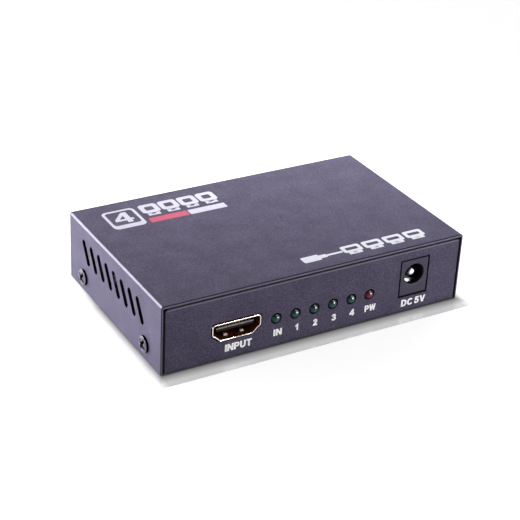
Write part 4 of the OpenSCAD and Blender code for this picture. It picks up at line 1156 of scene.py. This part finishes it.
def moulded(name, dark, light, gloss, where=None, other=None):
    """Moulded plastic: a fine spark-eroded grain in colour, gloss and height. It takes another colour
    where a function of the place, given as links to x, y and z, is one."""
    material, tree, shader = new_finish(name, Specular_IOR_Level=gloss)
    moulding = grain(tree, 0.18, 3)
    skin = coloured(tree, moulding, (0.30, paint(*dark)), (0.70, paint(*light)))
    if where:
        skin = layered(tree, where(tree, *axes_of(tree, place_on(tree))), skin, paint(*other))
    wire(shader, {"Base Color": skin, "Roughness": between(tree, moulding, 0.36, 0.50)})
    relief(tree, shader, moulding, 0.006, 0.4)
    return material


def behind_face(tree, x, y, z):
    """Zero on the jack's face, one behind it, where no light from the front greys the plastic."""
    return ramp(tree, y, *(jack_low[1] + step for step in FACE_FADE))


def lip_highlight(tree, x, y, z):
    """One on the upper lip of a socket's tongue, where a painted highlight goes, zero elsewhere."""
    lip = SOCKET_Z + SOCKET_HIGH / 2 - LIP_DROP
    front = ramp(tree, worked(tree, "ABSOLUTE", y), *LIP_FROM)
    return worked(tree, "MULTIPLY", front, ramp(tree, z, *(lip + step for step in LIP_FADE)))


black_plastic = moulded("black_plastic", (13, 11, 13), (20, 17, 20), 0.12)
# Painted highlight: a pale line along the upper lip of each tongue.
socket_plastic = moulded("socket_plastic", (24, 13, 12), (34, 19, 17), 0.08, lip_highlight, (188, 174, 194))
jack_plastic = moulded("jack_plastic", (60, 55, 74), (76, 70, 92), 0.12, behind_face, (7, 6, 14))
tinned_metal = grained("tinned_metal", 0.4, (204, 206, 210), (238, 239, 242), (0.28, 0.40), detail=3, Metallic=1.0)
print("made", black_plastic.name, socket_plastic.name, jack_plastic.name, tinned_metal.name)

# %% The pin
PIN_RADIUS, NECK_RADIUS, PIN_END, NECK_LOW, NECK_HIGH, TIP_FROM, TIP_LONG = 1.05, 0.8, -12.2, -11.9, -9.6, -1.8, 0.8
jack_face, jack_middle, axis_z = float(jack_low[1]), middle_x("jack_housing"), BOARD_TOP + 6.25
angle = np.linspace(0, np.pi / 2, 14)
tip = columns(PIN_RADIUS * np.cos(angle) ** 0.8, TIP_FROM + TIP_LONG * np.sin(angle))
stem = round_profile([(0, PIN_END), (PIN_RADIUS, PIN_END), (PIN_RADIUS, NECK_LOW), (NECK_RADIUS, NECK_LOW),
                      (NECK_RADIUS, NECK_HIGH), (PIN_RADIUS, NECK_HIGH), tip[0]], 0.06)
pin = facing_front(turned(np.concatenate([stem[:-1], tip])), jack_middle, jack_face, axis_z)
put_piece("centre_pin", pin, tinned_metal, ["jack_pin"])
print("pin tip at y =", round(float(pin[0][:, 1].min()), 2))

# %% The spring leaf
LEAF_WIDE, LEAF_THICK, LEAF_ROLL = 2.6, 0.3, 0.3
TIP_Y, ROOT_Y, ROOT_Z, TIP_Z, BEND_Z, CREST_Z = 2.1, 10.2, 1.7, 2.1, 3.0, 3.6
BEND, CREST, FALL = (2.4, 3.7), (3.2, 4.9), (4.6, ROOT_Y)


def smooth_step(y, start, end):
    """Zero before start, one after end, and 3u2 - 2u3 between them."""
    u = np.clip((y - start) / (end - start), 0, 1)
    return u * u * (3 - 2 * u)


def leaf_path(steps=72):
    """Middle line of the leaf, as depth and height: level at its tip, steeply up, on to the crest and
    back down to its rolled root, each by a smooth step."""
    y = np.linspace(TIP_Y, ROOT_Y, steps)
    z = TIP_Z + (BEND_Z - TIP_Z) * smooth_step(y, *BEND) + (CREST_Z - BEND_Z) * smooth_step(y, *CREST)
    return columns(jack_face + y, BOARD_TOP + z - (CREST_Z - ROOT_Z) * smooth_step(y, *FALL))


strip = bent_strip(leaf_path(), jack_middle, LEAF_WIDE, LEAF_THICK)
roll_points, roll_faces = turned(round_profile([(0, -LEAF_WIDE / 2), (LEAF_ROLL, -LEAF_WIDE / 2),
                                                (LEAF_ROLL, LEAF_WIDE / 2), (0, LEAF_WIDE / 2)], 0.05), 32)
roll_points = roll_points[:, [2, 0, 1]] + [jack_middle, jack_face + ROOT_Y, BOARD_TOP + ROOT_Z]
leaf = put_piece("spring_leaf", joined(strip, (roll_points, roll_faces)), tinned_metal, ["jack_leaf"],
                 body="contact_leaf")
soften(leaf, 0.04, BLUNT_TURN)
print("leaf:", len(leaf.data.polygons), "faces")

# %% [markdown]
# ## Board and inner parts
# These stay the CAD solids: their shapes are right, and the vents show only glimpses of them. Each
# kind still gets its own finish, and those that can be seen through an opening get soft edges.

# %% Moulded blocks
BLOCK_EASE = 0.08


def eased_copy(name, finish):
    """A moulded piece in the given finish that takes over a CAD solid's points and faces, with its edges rounded."""
    solid = frame["nodes"][name].data
    faces = gathered(solid.loops, "vertex_index", 1, int).reshape(-1, 3)
    shape = gathered(solid.vertices, "co") / MM, [faces]
    soften(put_piece("eased_" + name, shape, finish, [name]), BLOCK_EASE, weld=True)


eased_copy("jack_housing", jack_plastic)
for name in ["input_insulator", *(f"output_insulator_{i}" for i in OUTPUTS)]:
    eased_copy(name, socket_plastic)
print("moulded blocks eased")

# %% Finishes of the inner parts
contact_gold = grained("contact_gold", 0.3, (206, 160, 78), (232, 192, 108), (0.18, 0.30), Metallic=1.0)
capacitor_can = grained("capacitor_can", 0.3, (190, 192, 196), (222, 223, 226), (0.26, 0.42), detail=3,
                        stretch=(1, 1, 8), Metallic=1.0)
ceramic = grained("ceramic", 0.2, (84, 64, 46), (104, 82, 60), (0.5, 0.65), detail=3)
board, tree, shader = new_finish("board", Specular_IOR_Level=0.1)
tracks = add_node(tree, "TexBrick", {"Scale": 1 / (4 * MM), "Mortar Size": 0.012, "Mortar Smooth": 0.2,
                                     "Color1": paint(8, 24, 17), "Color2": paint(10, 28, 20),
                                     "Mortar": paint(18, 44, 32), "Vector": place_on(tree, turn=(0, 0, 45))}, "Color")
wire(shader, {"Base Color": tracks, "Roughness": between(tree, grain(tree, 3), 0.40, 0.55)})
relief(tree, shader, tracks.node.outputs["Fac"], 0.03, 0.5)
print("made", contact_gold.name, capacitor_can.name, ceramic.name, board.name)

# %% Dressing the CAD nodes
FINISHES = {"board": board, "contact_gold": contact_gold, "black_plastic": black_plastic,
            "tinned_metal": tinned_metal, "capacitor_can": capacitor_can, "ceramic": ceramic}
slot_of = {part["node"]: part["material_slot"] for part in frame["record"]["subparts"]}
shown = [name for name, node in frame["nodes"].items() if not node.hide_render]
for name in shown:
    node = frame["nodes"][name]
    node.data.materials.clear()
    node.data.materials.append(FINISHES[slot_of[name]])
print(len(shown), "CAD nodes stay in view")

# %% [markdown]
# ## Floor and light
# The box stands on a white table in a white room. The floor is white to the camera and to
# reflections by a little light of its own, and the rest of its brightness is real, so that it still
# shows the box's shadow and a soft mirror image near its foot. A contact shadow is also painted round
# the foot, into the floor's colour, its own light and the tint of its mirror image. The room is white
# to the camera too, but it lights the box with less, and the soft boxes do the rest.

# %% Helpers for the studio
FOOT_INSET, REAR_FADE = 0.3, (0.3, 1.3)


def seen(tree, glossy_share=1.0):
    """One for rays from the camera or through glass, a share for reflections, zero for lighting rays."""
    rays = add_node(tree, "LightPath", {}).node.outputs
    glossy = worked(tree, "MULTIPLY", rays["Is Glossy Ray"], glossy_share)
    direct = worked(tree, "MAXIMUM", rays["Is Camera Ray"], rays["Is Transmission Ray"])
    return worked(tree, "MAXIMUM", direct, glossy)


def away_from_foot(tree, along_x, along_y):
    """How far a point of the table lies outside the box's foot along x and along y, each as a share of
    a length: zero on the foot's outline, one at that length, below zero under the box. From the middle
    to behind the box both shares grow by up to one, which fades what depends on them at the rear."""
    x, y, _ = axes_of(tree, place_on(tree))
    rear = ramp(tree, y, *(share * PANEL_Y for share in REAR_FADE))
    shares = []
    for axis, foot, length in ((x, COVER_X - FOOT_INSET, along_x), (y, PANEL_Y, along_y)):
        outside = worked(tree, "SUBTRACT", worked(tree, "ABSOLUTE", axis), foot * MM)
        shares.append(worked(tree, "ADD", rear, worked(tree, "DIVIDE", outside, length * MM)))
    return shares


def grey(share):
    """A colour with equal parts of red, green and blue light."""
    return share, share, share, 1


print("mid grey is", grey(0.5))

# %% The table's finish
TABLE_OWN_LIGHT, TABLE_GREY, POLISH, MIRROR_TINT, POLISH_X, POLISH_Y = 0.80, 0.35, 0.45, 0.4, 3.4, 5.5
table_top, tree, shader = new_finish("table_top", Roughness=0.6, Specular_IOR_Level=0.1)
away_x, away_y = away_from_foot(tree, POLISH_X, POLISH_Y)
outside = between(tree, worked(tree, "MAXIMUM", away_x, away_y), 0, 1, -0.2, 1)
# Painted contact shadow: the table darkens towards the box's foot.
contact = coloured(tree, outside, (0.0, grey(0.02)), (0.17, grey(0.10)), (0.23, grey(0.38)), (0.70, grey(1)))
wire(shader, {"Base Color": layered(tree, 1, contact, grey(TABLE_GREY), "MULTIPLY")})
strength = worked(tree, "MULTIPLY", seen(tree), TABLE_OWN_LIGHT)
own_light = add_node(tree, "Emission", {"Color": contact, "Strength": strength})
matt = add_node(tree, "AddShader", {0: shader.outputs[0], 1: own_light})
tint = layered(tree, 1, contact, grey(MIRROR_TINT), "MULTIPLY")
mirror = add_node(tree, "BsdfGlossy", {"Color": tint, "Roughness": 0.05})
near = worked(tree, "MULTIPLY", worked(tree, "LESS_THAN", away_y, 1.0), between(tree, away_x, POLISH, 0, 0, 1))
share = worked(tree, "MULTIPLY", near, add_node(tree, "LightPath", {}, "Is Camera Ray"))
polished = add_node(tree, "MixShader", {0: share, 1: matt, 2: mirror})
wire(tree.nodes["Material Output"], {"Surface": polished})
print("made", table_top.name)

# %% The table
TABLE_HALF, TABLE_TOP = 3, -2e-5
corners = columns(*box_corners((-TABLE_HALF, -TABLE_HALF), (TABLE_HALF, TABLE_HALF)).T, TABLE_TOP)
floor_mesh = bpy.data.meshes.new("floor")
floor_mesh.from_pydata(corners.tolist(), [], [(0, 1, 2, 3)])
floor_mesh.materials.append(table_top)
floor = bpy.data.objects.new("floor", floor_mesh)
bpy.context.scene.collection.objects.link(floor)
print("the table is", 2 * TABLE_HALF, "m wide")

# %% The room
ROOM_LIGHT, WALL_SHARE = 0.30, 0.4
room = bpy.data.worlds.new("room")
room.use_nodes = True
bpy.context.scene.world = room
tree = room.node_tree
direction = axes_of(tree, add_node(tree, "TexCoord", {}, "Generated"))
rear_wall = between(tree, direction[1], 0, WALL_SHARE, -0.2, 0.6)
strength = between(tree, seen(tree, rear_wall), ROOM_LIGHT, 1, 0, 1)
wire(tree.nodes["Background"], {"Color": grey(1), "Strength": strength})
print("room made")

# %% Lamps of the studio
SOFT_BOXES = {"soft_box_left": ((-0.56, 0.12, 0.08), (0.45, 0.16), 5.1, "all"),
              "soft_box_rear_left": ((-0.30, 0.48, 0.06), (0.30, 0.10), 3.4, "all"),
              "soft_box_rear": ((0.05, 0.10, 0.07), (0.30, 0.04), 0.50, "matt"),
              "soft_box_front_right": ((0.22, -0.20, 0.09), (0.14, 0.14), 0.36, "all"),
              "shine_strip_right": ((0.27, -0.36, 0.50), (0.28, 0.40), 3.5, "gloss"),
              "shine_strip_low": ((0.34, -0.54, 0.12), (0.16, 0.16), 11.0, "gloss"),
              "shine_strip_left": ((-0.31, 0.50, 0.29), (0.30, 0.12), 9.0, "gloss")}
LIT_PLACE = Vector((0, 0, 0.01))


def soft_box(name, place, size, power, shows_in):
    """A soft box (width, height in metres) at a place, turned to the middle of the object. One that
    shows in gloss alone makes glints and sheds no light on matt skins; one for matt skins does the reverse."""
    light = bpy.data.lights.new(name, "AREA")
    light.shape, light.energy = "RECTANGLE", power
    light.size, light.size_y = size
    box = bpy.data.objects.new(name, light)
    box.location = place
    box.rotation_euler = (LIT_PLACE - Vector(place)).to_track_quat("-Z", "Y").to_euler()
    box.visible_diffuse, box.visible_glossy = shows_in != "gloss", shows_in != "matt"
    box.visible_camera = False
    bpy.context.scene.collection.objects.link(box)


for name, settings in SOFT_BOXES.items():
    soft_box(name, *settings)
print("soft boxes lit:", len(SOFT_BOXES))
